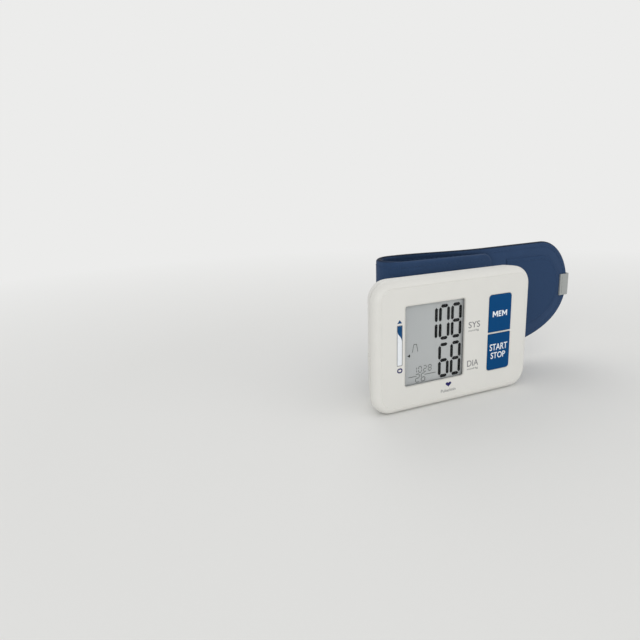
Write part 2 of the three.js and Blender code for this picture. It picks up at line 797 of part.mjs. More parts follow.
// Tube from the pump head to the air block, over a nipple at each end.
function airTube() {
  const bore = nippleRadius + seat;
  const [x0, x1] = [pumpHeadRight + seat, blockLeft - seat];
  const outer = barX(bore + tubeWall, x0, x1, pumpY, pumpZ);
  return outer.subtract(barX(bore, x0 - seat, x1 + seat, pumpY, pumpZ));
}

function airBlock() {
  const inlet = blockLeft - nippleLength;
  let body = block(blockLeft, blockLeft + blockWidth, blockFrontY, blockBack,
    blockBottom, blockBottom + blockHeight);
  body = body.add(barX(nippleRadius, inlet, blockLeft + seat, pumpY, pumpZ));
  body = body.add(barZ(valveNozzleRadius, valveX, valveY, nozzleBottom, blockBottom + seat));
  body = body.subtract(barX(nippleBore, inlet - seat, valveX, pumpY, pumpZ));
  body = body.subtract(barZ(portRadius, valveX, valveY, nozzleBottom - seat, pumpZ));
  body = body.subtract(barY(portRadius, valveX, pumpY, blockBack + seat, pumpZ));
  return body.subtract(barY(nippleRadius + seat, valveX, blockFrontY - seat, pumpY, pumpZ));
}

function valveCoil() {
  const coil = barZ(valveRadius, valveX, valveY, valveBottom, valveTop);
  return coil.subtract(barZ(valveBore, valveX, valveY, valveTop - valveBoreDepth, valveTop + seat));
}

function valvePlunger() {
  const rodBottom = valveTop - valveBoreDepth + seat;
  const rod = barZ(valveBore - seat, valveX, valveY, rodBottom, valveHeadTop - valveHeadHeight / 2);
  return rod.add(barZ(valveHeadRadius, valveX, valveY, valveHeadTop - valveHeadHeight, valveHeadTop));
}

function pressureSensor() {
  const half = sensorSize / 2;
  const y0 = boardBack + seat;
  const y1 = y0 + sensorHeight;
  const tip = blockFrontY + sensorNozzleDepth;
  const can = block(valveX - half, valveX + half, y0, y1, pumpZ - half, pumpZ + half);
  const nozzle = barY(nippleRadius, valveX, y1 - sensorHeight / 2, tip, pumpZ);
  return can.add(nozzle).subtract(barY(nippleBore, valveX, y1, tip + seat, pumpZ));
}

// Cuff

function cuffLayer(margin, y0, y1) {
  const corner = panelCorner - Math.min(margin, panelCorner / 2);
  const outline = roundRect(panelLeft + margin, panelRight - margin, panelBottom + margin, panelTop - margin,
    corner);
  return slab(outline, y0, y1);
}

function cuffPanel() {
  let layer = cuffLayer(0, panelFront, panelFront + panelThickness);
  for (const lug of lugs) {
    layer = layer.subtract(lugHole(lug, panelFront - seat, coreFront));
  }
  return layer.subtract(barY(cuffNippleRadius + seat, valveX, panelFront - seat, coreFront, pumpZ));
}

// Stiff plate inside the cuff, whose clip lugs pass through the panel and hook behind the rear wall.
function cuffCorePlate() {
  const tip = rearInner - lugReach;
  let plate = cuffLayer(coreMargin, coreFront, coreFront + coreThickness);
  for (const [x, z] of lugs) {
    const [x0, x1] = [x - lugThickness / 2, x + lugThickness / 2];
    const [z0, z1] = [z - lugWidth / 2, z + lugWidth / 2];
    plate = plate.add(block(x0, x1, tip, coreFront + coreThickness / 2, z0, z1));
    plate = plate.add(block(x, x + hookReach, tip, rearInner - seat, z0, z1));
  }
  return plate.subtract(barY(cuffNippleRadius + seat, valveX, coreFront - seat, bladderFront, pumpZ));
}

function airBladder() {
  const middle = bladderFront + bladderThickness / 2;
  const bag = cuffLayer(bladderMargin, bladderFront, bladderBack);
  const neck = barY(cuffNippleRadius, valveX, rearInner, middle, pumpZ);
  return bag.add(neck).subtract(barY(cuffNippleBore, valveX, rearInner - seat, middle, pumpZ));
}

function cuffLining() {
  return cuffLayer(0, liningFront, liningBack);
}

// Quarter of the strap's turn that stays with the casing, with a short tail to the panel.
function cuffBend() {
  const plan = new THREE.Shape();
  plan.moveTo(bendX + bendTail, panelFront);
  plan.lineTo(bendX + bendTail, panelFront + strapThickness);
  plan.lineTo(bendX, panelFront + strapThickness);
  plan.absarc(bendX, bendY, bendInner, -Math.PI / 2, -Math.PI, true);
  plan.lineTo(bendX - bendRadius, bendY);
  plan.absarc(bendX, bendY, bendRadius, -Math.PI, -Math.PI / 2, false);
  const turn = prism(plan, panelBottom, panelTop);
  const gap = block(bendX - bendRadius - seat, bendX, bendY - seat / 2, bendY + seat,
    panelBottom - seat, panelTop + seat);
  return turn.subtract(gap);
}

// The flap seen from the front: a round upper end and a lower edge that sweeps up to the tip.
function flapOutline(left, inset) {
  const { lerp } = THREE.MathUtils;
  const [low, high, tip] = [strapBottom + inset, strapTop - inset, flapTip - inset];
  const shoulder = flapTip - flapShoulder;
  const shape = new THREE.Shape();
  shape.moveTo(left, low);
  shape.lineTo(Math.max(flapStart, left), low);
  shape.bezierCurveTo(tip - flapSweep, low + flapSweepRise, tip, low + flapSweepTip, tip, flapTipZ);
  shape.bezierCurveTo(tip, lerp(flapTipZ, high, quarterRound), lerp(shoulder, tip, quarterRound), high,
    shoulder, high);
  shape.lineTo(left, high);
  return shape;
}

// Second half of the turn, the far side of the loop and the free flap, in one strap.
function cuffWrap() {
  const [farInner, farOuter] = [bendY + bendInner, bendY + bendRadius];
  const [near, far] = [bendX + loopRun, flapStart - loopFall];
  const end = flapTip + seat;
  const plan = new THREE.Shape();
  plan.moveTo(bendX - bendRadius, bendY);
  plan.lineTo(bendX - bendInner, bendY);
  plan.absarc(bendX, bendY, bendInner, Math.PI, Math.PI / 2, true);
  plan.bezierCurveTo(near, farInner, far, flapFront, flapStart, flapFront);
  plan.lineTo(end, flapFront);
  plan.lineTo(end, flapBack);
  plan.lineTo(flapStart, flapBack);
  plan.bezierCurveTo(far, flapBack, near, farOuter, bendX, farOuter);
  plan.absarc(bendX, bendY, bendRadius, Math.PI / 2, Math.PI, false);
  const strap = prism(plan, strapBottom - seat, strapTop + seat);
  const gap = block(bendX - bendRadius - seat, bendX, bendY - seat, bendY + seat / 2,
    strapBottom - 2 * seat, strapTop + 2 * seat);
  const side = slab(flapOutline(bendX - bendRadius - seat, 0), panelFront, farOuter + seat, 14);
  return strap.subtract(gap).intersect(side);
}

function hookPatch() {
  const outline = flapOutline(flapStart + hookStart, hookInset);
  return slab(outline, flapFront - seat - hookThickness, flapFront - seat, 10);
}

// Folded tab that hugs the flap's tip on both faces.
function pullTab() {
  const [y0, y1] = [flapFront - seat, flapBack + seat];
  const [z0, z1] = [flapTipZ - tabHeight / 2, flapTipZ + tabHeight / 2];
  const end = flapTip + seat;
  const fold = block(end - tabReach, end + tabThickness, y0 - tabThickness, y1 + tabThickness, z0, z1);
  return fold.subtract(block(end - tabReach - seat, end, y0, y1, z0 - seat, z1 + seat));
}

// Finishes
const ivory = { color: 0xdad9d5, roughness: 0.45 };
const keyBlue = { color: 0x134974, roughness: 0.4 };
const clear = { color: 0xc9ced0, roughness: 0.1 };
const lcdGrey = { color: 0xb0b4b0, roughness: 0.3 };
const darkPlastic = { color: 0x2b2d30, roughness: 0.6 };
const whitePlastic = { color: 0xe6e4dc, roughness: 0.5 };
const boardGreen = { color: 0x1f5a3c, roughness: 0.5 };
const steel = { color: 0xb8babd, roughness: 0.35, metalness: 1 };
const cellWrap = { color: 0x3a3f46, roughness: 0.35, metalness: 0.4 };
const navy = { color: 0x324560, roughness: 0.95 };
const tabGrey = { color: 0xa0a5a0, roughness: 0.7 };

piece('front_cover', frontCover(), ivory);
piece('rear_cover', rearCover(), ivory);
caseScrews.forEach((place, i) => piece(`case_screw_${i + 1}`, caseScrew(place), steel));
piece('display_lens', displayLens(), clear);
piece('lcd_panel', lcdPanel(), lcdGrey);
piece('lcd_holder', lcdHolder(), darkPlastic);
piece('lcd_connector', lcdConnector(), darkPlastic);
for (const which of keys) {
  const middle = (which.z0 + which.z1) / 2;
  piece(which.name, key(which), keyBlue);
  piece(which.switchName, switchCase(middle), darkPlastic);
  piece(`${which.switchName}_plunger`, switchPlunger(middle), whitePlastic);
}
piece('circuit_board', circuitBoard(), boardGreen);
boardScrews.forEach((place, i) => piece(`board_screw_${i + 1}`, boardScrew(place), steel));
piece('processor_chip', processorChip(), darkPlastic);
piece('buzzer', buzzer(), darkPlastic);
piece('cell_lower', cell(lowerCellZ, true), cellWrap);
piece('cell_upper', cell(upperCellZ, false), cellWrap);
piece('battery_spring', batterySpring(), steel);
piece('battery_contact', batteryContact(), steel);
piece('battery_door', batteryDoor(), ivory);
piece('door_contact', doorContact(), steel);
piece('pump_motor', pumpMotor(), steel);
piece('motor_shaft', motorShaft(), steel);
piece('pump_head', pumpHead(), whitePlastic);
piece('pump_diaphragm', pumpDiaphragm(), darkPlastic);
piece('air_tube', airTube(), whitePlastic);
piece('air_block', airBlock(), whitePlastic);
piece('valve_coil', valveCoil(), steel);
piece('valve_plunger', valvePlunger(), steel);
piece('pressure_sensor', pressureSensor(), darkPlastic);
piece('cuff_panel', cuffPanel(), navy);
piece('cuff_core_plate', cuffCorePlate(), whitePlastic);
piece('air_bladder', airBladder(), darkPlastic);
piece('cuff_lining', cuffLining(), navy);
piece('cuff_bend', cuffBend(), navy);
piece('cuff_wrap', cuffWrap(), navy);
piece('hook_patch', hookPatch(), navy);
piece('pull_tab', pullTab(), tabGrey);

export default root;
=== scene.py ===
# %% [markdown]
# # Wrist blood pressure monitor
# A small ivory casing with a display and two keys stands on its base, and a padded navy cuff loops behind
# it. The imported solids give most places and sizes. Here each piece that shows gets its surface and its
# finish.

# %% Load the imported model
import json
import math

import bmesh
import bpy
import numpy as np
from mathutils import Matrix, Vector
from mathutils.geometry import tessellate_polygon


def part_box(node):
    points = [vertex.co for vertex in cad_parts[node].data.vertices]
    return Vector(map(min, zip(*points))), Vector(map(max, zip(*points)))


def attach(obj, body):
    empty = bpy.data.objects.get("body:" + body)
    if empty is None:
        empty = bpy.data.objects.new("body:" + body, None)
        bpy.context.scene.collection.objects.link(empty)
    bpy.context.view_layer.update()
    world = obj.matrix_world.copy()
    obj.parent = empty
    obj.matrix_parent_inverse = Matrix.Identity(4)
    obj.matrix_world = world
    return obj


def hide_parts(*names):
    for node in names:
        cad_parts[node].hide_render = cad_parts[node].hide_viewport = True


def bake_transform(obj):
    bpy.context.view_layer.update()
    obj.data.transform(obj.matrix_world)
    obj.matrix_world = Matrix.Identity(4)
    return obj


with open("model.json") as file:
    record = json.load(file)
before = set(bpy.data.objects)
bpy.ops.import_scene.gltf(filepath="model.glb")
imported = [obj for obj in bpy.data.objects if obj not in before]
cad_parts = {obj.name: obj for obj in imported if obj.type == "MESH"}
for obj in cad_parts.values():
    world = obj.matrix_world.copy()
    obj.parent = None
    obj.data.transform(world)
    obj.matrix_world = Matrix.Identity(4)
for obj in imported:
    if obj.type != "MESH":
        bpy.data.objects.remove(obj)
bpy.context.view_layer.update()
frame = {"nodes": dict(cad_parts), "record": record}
scene = bpy.context.scene

# %% [markdown]
# The camera stands where the picture was taken from, to the left of the monitor and a little above it. It
# could be aimed with a constraint, but three angles are easier to read: how far it turns to the right, how
# far it looks down, and a slight roll of the picture.

# %% Camera
IMAGE_SIDE = 640
FOCAL_PIXELS = 549.0
SENSOR = 36.0
NEAR_CLIP = 0.01
CAMERA_PLACE = (-0.15995, -0.2078, 0.10287)
CAMERA_TURN, CAMERA_TILT, CAMERA_ROLL = (math.radians(angle) for angle in (-24.79, -14.04, -1.94))


def new_object(name, data):
    """Object of some data, linked into the scene at the origin."""
    made = bpy.data.objects.new(name, data)
    scene.collection.objects.link(made)
    return made


camera = new_object("camera", bpy.data.cameras.new("camera"))
camera.data.sensor_width = SENSOR
camera.data.lens = SENSOR * FOCAL_PIXELS / IMAGE_SIDE
camera.data.clip_start = NEAR_CLIP
turned = Matrix.Translation(CAMERA_PLACE) @ Matrix.Rotation(CAMERA_TURN, 4, "Z")
tilted = turned @ Matrix.Rotation(math.pi / 2 + CAMERA_TILT, 4, "X")
camera.matrix_world = tilted @ Matrix.Rotation(CAMERA_ROLL, 4, "Z")
scene.camera = camera
print("lens:", round(camera.data.lens, 2), "mm")

# %% [markdown]
# Sizes are worked in millimetres, as on a drawing, and turned into metres when a mesh is made. Most of them
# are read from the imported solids, so that a finished surface lies where its solid does.

# %% Measures
MM = 0.001


def node_box(name):
    """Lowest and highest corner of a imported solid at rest, in millimetres."""
    low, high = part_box(name)
    return np.array(low) / MM, np.array(high) / MM


SEAT = 0.3                      # gap between pieces that rest on each other
FLANK_ANGLE, TOP_ANGLE = math.radians(28), math.radians(12)
SIDE_TAPER, TOP_TAPER = math.tan(FLANK_ANGLE), math.tan(TOP_ANGLE)
CORNER, INNER_CORNER = 9.0, 1.0
SIDE_WALL, FACE_WALL = 1.8, 2.0
TOP_LEVEL = 3.5                 # stretch behind the parting line where the top is level
cover_low, cover_high = node_box("front_cover")
rear_low, rear_high = node_box("rear_cover")
HALF_WIDTH, HEIGHT = cover_high[0], cover_high[2]
FRONT, BACK = cover_low[1], rear_high[1]
REAR_FRONT = rear_low[1]
PARTING = REAR_FRONT - SEAT
TOP_START = REAR_FRONT + TOP_LEVEL
FRONT_INNER, REAR_INNER = FRONT + FACE_WALL, BACK - FACE_WALL
print("casing:", 2 * HALF_WIDTH, "by", HEIGHT, "by", round(BACK - FRONT, 2), "mm")

# %% [markdown]
# Everything on the monitor starts from a flat outline: a rounded rectangle for what is moulded, a curve for
# what is sewn. Blender's own curves could draw them, but a row of points in an array can be grown, stood up
# at a depth or laid along the cuff by a formula.

# %% Outlines and curves
def round_rect(x0, x1, z0, z1, low, high=None, steps=8):
    """Rectangle with round corners, as rows of (x, z). In each quarter the angle turns by a right angle
    about a centre that stands one radius inside both sides. The upper corners may have another radius than
    the lower."""
    high = low if high is None else high
    angle = np.linspace(0, np.pi / 2, steps + 1) + np.pi / 2 * np.arange(4)[:, None]
    radius = np.array([high, high, low, low])[:, None]
    x = np.array([x1 - high, x0 + high, x0 + low, x1 - low])[:, None] + radius * np.cos(angle)
    z = np.array([z1 - high, z1 - high, z0 + low, z0 + low])[:, None] + radius * np.sin(angle)
    return np.stack([x.ravel(), z.ravel()], -1)


def at_depth(outline, depth):
    """Outline of (x, z) stood up at one depth, or at one for each point, as rows of (x, y, z)."""
    return np.stack([outline[:, 0], np.broadcast_to(depth, len(outline)), outline[:, 1]], -1)


def quarter(radius, steps=10):
    """Quarter round as rows of (drop, inset): radius less its sine part, and radius less its cosine
    part."""
    angle = np.linspace(0, np.pi / 2, steps + 1)
    return np.stack([radius * (1 - np.sin(angle)), radius * (1 - np.cos(angle))], -1)


def bezier(p0, p1, p2, p3, count=240):
    """Cubic curve: its four points weighted by the terms of the cube of (1 - t) + t."""
    t = np.linspace(0, 1, count)[:, None]
    first_half = (1 - t) ** 3 * np.array(p0) + 3 * t * (1 - t) ** 2 * np.array(p1)
    return first_half + 3 * t * t * (1 - t) * np.array(p2) + t ** 3 * np.array(p3)


def smooth_step(value):
    """Eased ramp from 0 to 1: three squares less two cubes of the clipped value."""
    value = np.clip(value, 0, 1)
    return value * value * (3 - 2 * value)


def unit(arrows):
    """Rows of arrows, each divided by its own length."""
    return arrows / np.maximum(np.linalg.norm(arrows, axis=-1, keepdims=True), 1e-9)


def run_along(points):
    """Length along a row of points up to each of them: the running sum of the steps between neighbours."""
    return np.concatenate([[0], np.cumsum(np.linalg.norm(np.diff(points, axis=0), axis=1))])


print("outline of the face:", len(round_rect(-HALF_WIDTH, HALF_WIDTH, 0, HEIGHT, CORNER)), "points")

# %% [markdown]
# Every moulded surface here is a set of rings: closed rows of points that are joined by quads, like the
# hoops of a barrel. Blender could do this with its bridge tools, but arrays keep each row under a formula.
# `Surface` gathers the strips of one piece, welds them and turns all faces outwards.

# %% Surfaces from rings
class Surface:
    """Points and faces gathered from several strips, then welded into one closed mesh."""

    def __init__(self):
        """No points and no faces yet."""
        self.points, self.faces, self.count = [], [], 0

    def add(self, points, faces):
        """Takes in points, and faces whose corners are counted on from the points that are already
        there."""
        self.points.append(np.asarray(points, float))
        self.faces += [[corner + self.count for corner in face] for face in faces]
        self.count += len(points)
        return self

    def loft(self, rings):
        """Quads between neighbouring rings: each joins two neighbours on one ring to the same two on the
        next."""
        rings = np.asarray(rings, float)
        count = rings.shape[1]
        row = np.arange(len(rings) - 1)[:, None] * count
        here, after = np.arange(count), (np.arange(count) + 1) % count
        quads = np.stack([row + here, row + after, row + count + after, row + count + here], -1)
        return self.add(rings.reshape(-1, 3), quads.reshape(-1, 4).tolist())

    def cap(self, ring):
        """One flat face that closes a ring."""
        return self.add(ring, [list(range(len(ring)))])

    def solid(self, rings):
        """Loft that is closed by a flat face at both ends."""
        return self.loft(rings).cap(rings[0]).cap(rings[-1])

    def plate(self, loops, depth):
        """Flat face at one depth inside the first loop, with the other loops left open. It is cut into
        triangles between the loops' own points."""
        faces = tessellate_polygon([[Vector((*point, 0)) for point in loop] for loop in loops])
        return self.add(at_depth(np.concatenate(loops), depth), [list(face) for face in faces])

    def build(self, name, sharp=35, weld=2e-3):
        """Object with this mesh in metres: doubles welded, faces outwards, edges sharper than an angle
        kept."""
        mesh = bpy.data.meshes.new(name)
        mesh.from_pydata((np.concatenate(self.points) * MM).tolist(), [], self.faces)
        return shade(new_object(name, join_up(mesh, weld)), sharp)


def join_up(mesh, weld):
    """Welds the points of a mesh that lie closer than a distance in millimetres, drops the faces that this
    leaves without an area, and turns the rest outwards."""
    body = bmesh.new()
    body.from_mesh(mesh)
    bmesh.ops.remove_doubles(body, verts=body.verts, dist=weld * MM)
    bmesh.ops.dissolve_degenerate(body, edges=body.edges, dist=weld * MM / 10)
    bmesh.ops.recalc_face_normals(body, faces=body.faces)
    body.to_mesh(mesh)
    body.free()
    return mesh


def shade(made, sharp):
    """Smooth shading that keeps the edges sharper than an angle in degrees."""
    made.data.shade_smooth()
    made.data.set_sharp_from_angle(angle=math.radians(sharp))
    return made


# %% [markdown]
# A finished piece needs more than its shape. It rides on one of the bodies that move, it has a material,
# and it may stand for imported solids, which are then hidden. Booleans join and cut where two forms meet on
# a line that no ring could follow, as the pillars do in the rear cover.

# %% Finishing a piece
def settle(made, body, finish, slot, *nodes):
    """Gives a finished piece its body, its material and the solids that it stands for. The slot is not
    used."""
    made.data.materials.clear()
    made.data.materials.append(finish)
    if nodes:
        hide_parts(*nodes)
    if body:
        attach(made, body)
    made.data.calc_loop_triangles()
    print(f"{made.name}: {len(made.data.loop_triangles)} triangles")
    return made


def as_shown(thing):
    """New mesh of an object as its modifiers, or its letters, leave it."""
    return bpy.data.meshes.new_from_object(thing.evaluated_get(bpy.context.evaluated_depsgraph_get()))


def combine(made, other, operation):
    """Applies one boolean of another mesh to this one, and takes the other away."""
    step = made.modifiers.new("step", "BOOLEAN")
    step.object, step.operation, step.solver = other, operation, "EXACT"
    result = as_shown(made)
    made.modifiers.clear()
    made.data = result
    bpy.data.objects.remove(other)
    return made


def mesh_points(mesh):
    """All points of a mesh as one array, in the mesh's own unit."""
    flat = np.empty(3 * len(mesh.vertices))
    mesh.vertices.foreach_get("co", flat)
    return flat.reshape(-1, 3)


# %% [markdown]
# A colour is written here as on a colour chart, in three 8-bit numbers, but light adds up on a straight
# scale. Each colour could be typed in already converted, but a chart's numbers are easier to compare, so a
# function turns them into linear light.

# %% Colours
def srgb(red, green, blue):
    """Linear colour of a colour written as 8-bit numbers: a power law above a short straight foot."""
    value = np.array([red, green, blue]) / 255
    linear = np.where(value <= 0.04045, value / 12.92, ((value + 0.055) / 1.055) ** 2.4)
    return (*linear.tolist(), 1.0)


def tint(colour, factor):
    """Colour made lighter or darker by a factor."""
    return (*(min(part * factor, 1.0) for part in colour[:3]), 1.0)


def shades(colour, vary):
    """Two colours, a share darker and a share lighter than one."""
    return tint(colour, 1 - vary), tint(colour, 1 + vary)


print("middle grey in linear light:", round(srgb(128, 128, 128)[0], 3))

# %% [markdown]
# A finish is a Principled shader with its plain values on its own sockets. What varies over the surface
# comes from noise and waves on Object coordinates, which stay with the piece when it moves. These few
# helpers keep each finish to a few lines.

# %% Helpers for finishes
class Finish:
    """One node material: the shader, and helpers that add what varies over the surface."""

    def __init__(self, name, colour, **sockets):
        """New material whose shader has a base colour and other plain values."""
        self.material = bpy.data.materials.new(name)
        self.material.use_nodes = True
        self.tree = self.material.node_tree
        self.shader = self.tree.nodes["Principled BSDF"]
        self.wear(Base_Color=colour, **sockets)

    def feed(self, socket, value):
        """Links another node's output to a socket, or sets the socket to a plain value."""
        if isinstance(value, bpy.types.NodeSocket):
            self.tree.links.new(value, socket)
        else:
            socket.default_value = value

    def wear(self, **sockets):
        """Feeds sockets of the shader, whose names have spaces where these have underscores."""
        for name, value in sockets.items():
            self.feed(self.shader.inputs[name.replace("_", " ")], value)
        return self.material

    def node(self, kind, **inputs):
        """New node with its sockets fed in the same way."""
        made = self.tree.nodes.new(kind)
        for name, value in inputs.items():
            self.feed(made.inputs[name.replace("_", " ")], value)
        return made

    def coordinates(self):
        """Place on the piece itself, in metres."""
        return self.node("ShaderNodeTexCoord").outputs["Object"]

    def noise(self, scale, detail=2.0, vector=None):
        """Soft noise from 0 to 1, of so many lumps to a metre."""
        vector = self.coordinates() if vector is None else vector
        made = self.node("ShaderNodeTexNoise", Vector=vector, Scale=scale, Detail=detail)
        return made.outputs["Fac"]

    def wave(self, scale, distortion, direction="X", vector=None, detail=2.0):
        """Bands from 0 to 1 that follow a sine along one direction."""
        vector = self.coordinates() if vector is None else vector
        made = self.node("ShaderNodeTexWave", Vector=vector, Scale=scale, Distortion=distortion,
                         Detail=detail)
        made.bands_direction = direction
        return made.outputs["Fac"]

    def ramp(self, factor, *stops):
        """Colours at places along a factor from 0 to 1."""
        made = self.node("ShaderNodeValToRGB", Fac=factor)
        elements = made.color_ramp.elements
        while len(elements) < len(stops):
            elements.new(0.5)
        for element, (place, colour) in zip(elements, stops):
            element.position, element.color = place, colour
        return made.outputs["Color"]

    def range(self, factor, low, high):
        """Factor from 0 to 1 spread between two values."""
        return self.node("ShaderNodeMapRange", Value=factor, To_Min=low, To_Max=high).outputs["Result"]

    def share(self, value, start, stop):
        """Share of the way that a value has gone from start to stop, held between 0 and 1."""
        return self.node("ShaderNodeMapRange", Value=value, From_Min=start, From_Max=stop).outputs["Result"]

    def drift(self, scale, dark, pale, detail=2.0):
        """Colour that drifts between two others with a noise."""
        return self.ramp(self.noise(scale, detail), (0.3, dark), (0.7, pale))

    def wander(self, scale, low, high):
        """Value that wanders between two others with a noise."""
        return self.range(self.noise(scale), low, high)

    def mix(self, factor, first, second):
        """Colour part of the way from a first to a second."""
        return self.node("ShaderNodeMixRGB", Fac=factor, Color1=first, Color2=second).outputs["Color"]

    def math(self, operation, first, second):
        """One sum, product or other operation of two values."""
        made = self.node("ShaderNodeMath")
        made.operation = operation
        for socket, value in zip(made.inputs, (first, second)):
            self.feed(socket, value)
        return made.outputs["Value"]

    def bump(self, height, strength, distance):
        """Tilts the surface's normal by the slope of a height, which stands for a distance in metres."""
        made = self.node("ShaderNodeBump", Height=height, Strength=strength, Distance=distance)
        return self.wear(Normal=made.outputs["Normal"])


# %% [markdown]
# The casing is satin ivory plastic. Its mould is spark-eroded, which leaves a very fine grain that softens
# the reflections. One noise shifts the colour a little, as resin does, and a much finer one gives the
# grain.

# %% Plastic finishes
RESIN_DRIFT, ROUGHNESS_DRIFT = 0.01, 0.05
GRAIN_STRENGTH, GRAIN_DEPTH = 0.35, 0.000012


def moulded_plastic(name, colour, roughness, gloss=0.35, grain=2600.0):
    """Moulded plastic: slow colour drift, a roughness that wanders, and a fine grain in the bump."""
    made = Finish(name, colour, Specular_IOR_Level=gloss)
    made.wear(Base_Color=made.drift(90.0, *shades(colour, RESIN_DRIFT), 3.0),
              Roughness=made.wander(220.0, roughness - ROUGHNESS_DRIFT, roughness + ROUGHNESS_DRIFT))
    return made.bump(made.noise(grain), GRAIN_STRENGTH, GRAIN_DEPTH)


ivory = moulded_plastic("casing_ivory", srgb(219, 218, 213), 0.46)
key_blue = moulded_plastic("key_blue", srgb(2, 67, 118), 0.42, gloss=0.06, grain=3200.0)
dark_plastic = moulded_plastic("dark_plastic", srgb(44, 46, 49), 0.55)
white_plastic = moulded_plastic("natural_plastic", srgb(224, 221, 212), 0.5)
print("plastics:", ivory.name, key_blue.name, dark_plastic.name, white_plastic.name)

# %% [markdown]
# Both covers share one outline, and the display window and the two keys share the face. Their places are
# read from the solids of the lens, its holder and the keys, and each is kept as four sides and two corner
# radii.

# %% Outlines of the casing
WINDOW_LIP, WINDOW_CORNER = 1.7, 1.2
KEY_FLANGE, KEY_CLEARANCE = 0.9, 0.12
KEY_CORNER, KEY_SPLIT_CORNER = 1.5, 0.3


def sides(name, grow):
    """Left, right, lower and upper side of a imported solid, moved outwards by grow."""
    low, high = node_box(name)
    return low[0] - grow, high[0] + grow, low[2] - grow, high[2] + grow


def casing_ring(depth, inset, steps=14):
    """Outline of the casing at one depth, drawn in by inset: the sides lean in behind the parting line by
    the tangent of their taper, the top does so behind its level stretch, and the base stays level."""
    lean = max(depth - REAR_FRONT, 0) * SIDE_TAPER
    fall = max(depth - TOP_START, 0) * TOP_TAPER
    half, high = HALF_WIDTH - inset - lean, HEIGHT - inset - fall
    return at_depth(round_rect(-half, half, inset, high, CORNER - inset, steps=steps), depth)


def grown(bounds, low, high, grow, steps=8):
    """Rounded outline of some bounds, wider by grow on every side."""
    x0, x1, z0, z1 = bounds
    return round_rect(x0 - grow, x1 + grow, z0 - grow, z1 + grow, low + grow, high + grow, steps)


def key_bounds(name, upper):
    """Sides of a key's cap, which its flange passes on the left, on the right and at its outer end."""
    low, high = node_box(name)
    z0 = low[2] if upper else low[2] + KEY_FLANGE
    z1 = high[2] - KEY_FLANGE if upper else high[2]
    return low[0] + KEY_FLANGE, high[0] - KEY_FLANGE, z0, z1


WINDOW, POCKET = sides("display_lens", -WINDOW_LIP), sides("lcd_holder", SEAT)
KEYS = {"memory_key": (key_bounds("memory_key", True), KEY_SPLIT_CORNER, KEY_CORNER),
        "start_stop_key": (key_bounds("start_stop_key", False), KEY_CORNER, KEY_SPLIT_CORNER)}
print("window:", np.round(WINDOW, 2).tolist())
print("keys:", {name: np.round(key[0], 2).tolist() for name, key in KEYS.items()})

# %% [markdown]
# The front cover is a shallow lid with a large soft edge. Where the edge meets the flat face a hairline
# groove runs round, as in the picture. The window and the two key openings are cut through it, with tiny
# rounded rims. A subdivided box with booleans would leave uneven shading round the openings, so the skin is
# lofted in rings, and the flat face is filled between the outline and the openings.

# %% Front cover
EDGE_RADIUS = 3.0
RIM_BREAK = 0.15                # small bevel where the two covers meet
GROOVE = ((0.12, 0.14), (0.12, 0.3), (0, 0.44), (0, 0.6))     # depths and insets of the hairline groove
POCKET_FLOOR, POCKET_CORNER = FRONT + 0.8, 1.5
WINDOW_RIM, WINDOW_GUARD = 0.3, 0.2
KEY_RIM, KEY_GUARD = 0.18, 0.05


def plan(ring):
    """Ring seen from the front, as rows of (x, z)."""
    return ring[:, [0, 2]]


def opening(shell, bounds, low, high, rim, guard, floor):
    """Rounded rim of an opening and its wall: a flat guard ring, a quarter round, then straight back to a
    floor. Gives the outlines of both ends."""
    rings = [at_depth(grown(bounds, low, high, rim + guard), FRONT)]
    rings += [at_depth(grown(bounds, low, high, grow), FRONT + rim - drop)
              for drop, grow in quarter(rim, 5)[::-1]]
    rings.append(at_depth(grown(bounds, low, high, 0), floor))
    shell.loft(rings)
    return plan(rings[0]), plan(rings[-1])


def keyhole(bounds, low, high):
    """Opening for a key: its sides and corners, wider by the key's clearance."""
    wider = np.array(bounds) + KEY_CLEARANCE * np.array([-1, 1, -1, 1])
    return tuple(wider), low + KEY_CLEARANCE, high + KEY_CLEARANCE


def front_cover():
    """Lid in rings: the inner wall, the parting rim, the edge as a quarter round and the groove. Flat
    plates then fill the face, the floor of the display's pocket and the inner face."""
    shell = Surface()
    inside = [casing_ring(FRONT_INNER, SIDE_WALL + INNER_CORNER),
              casing_ring(FRONT_INNER + INNER_CORNER, SIDE_WALL), casing_ring(PARTING, SIDE_WALL)]
    rim = [casing_ring(PARTING, RIM_BREAK), casing_ring(PARTING - RIM_BREAK, 0)]
    edge = [casing_ring(FRONT + drop, inset) for drop, inset in quarter(EDGE_RADIUS, 12)]
    groove = [casing_ring(FRONT + depth, EDGE_RADIUS + inset) for depth, inset in GROOVE]
    shell.loft(inside + rim + edge + groove)
    pocket = grown(POCKET, POCKET_CORNER, POCKET_CORNER, 0)
    window = opening(shell, WINDOW, WINDOW_CORNER, WINDOW_CORNER, WINDOW_RIM, WINDOW_GUARD, POCKET_FLOOR)
    holes = [opening(shell, *keyhole(*key), KEY_RIM, KEY_GUARD, FRONT_INNER) for key in KEYS.values()]
    shell.plate([plan(groove[-1]), window[0], *(hole[0] for hole in holes)], FRONT)
    shell.plate([pocket, window[1]], POCKET_FLOOR)
    shell.loft([at_depth(pocket, POCKET_FLOOR), at_depth(pocket, FRONT_INNER)])
    shell.plate([plan(inside[0]), pocket, *(hole[1] for hole in holes)], FRONT_INNER)
    return shell.build("front_shell")


settle(front_cover(), "casing", ivory, "casing_plastic", "front_cover")

# %% [markdown]
# The rear cover is a deep tub. Its flanks lean in towards the wrist, three screws sit in deep recesses, and
# the left flank is open to the battery bay. The tub is lofted like the lid, and the bay, the screw pillars
# and the openings are joined and cut with booleans, which is how its mould is cut too.

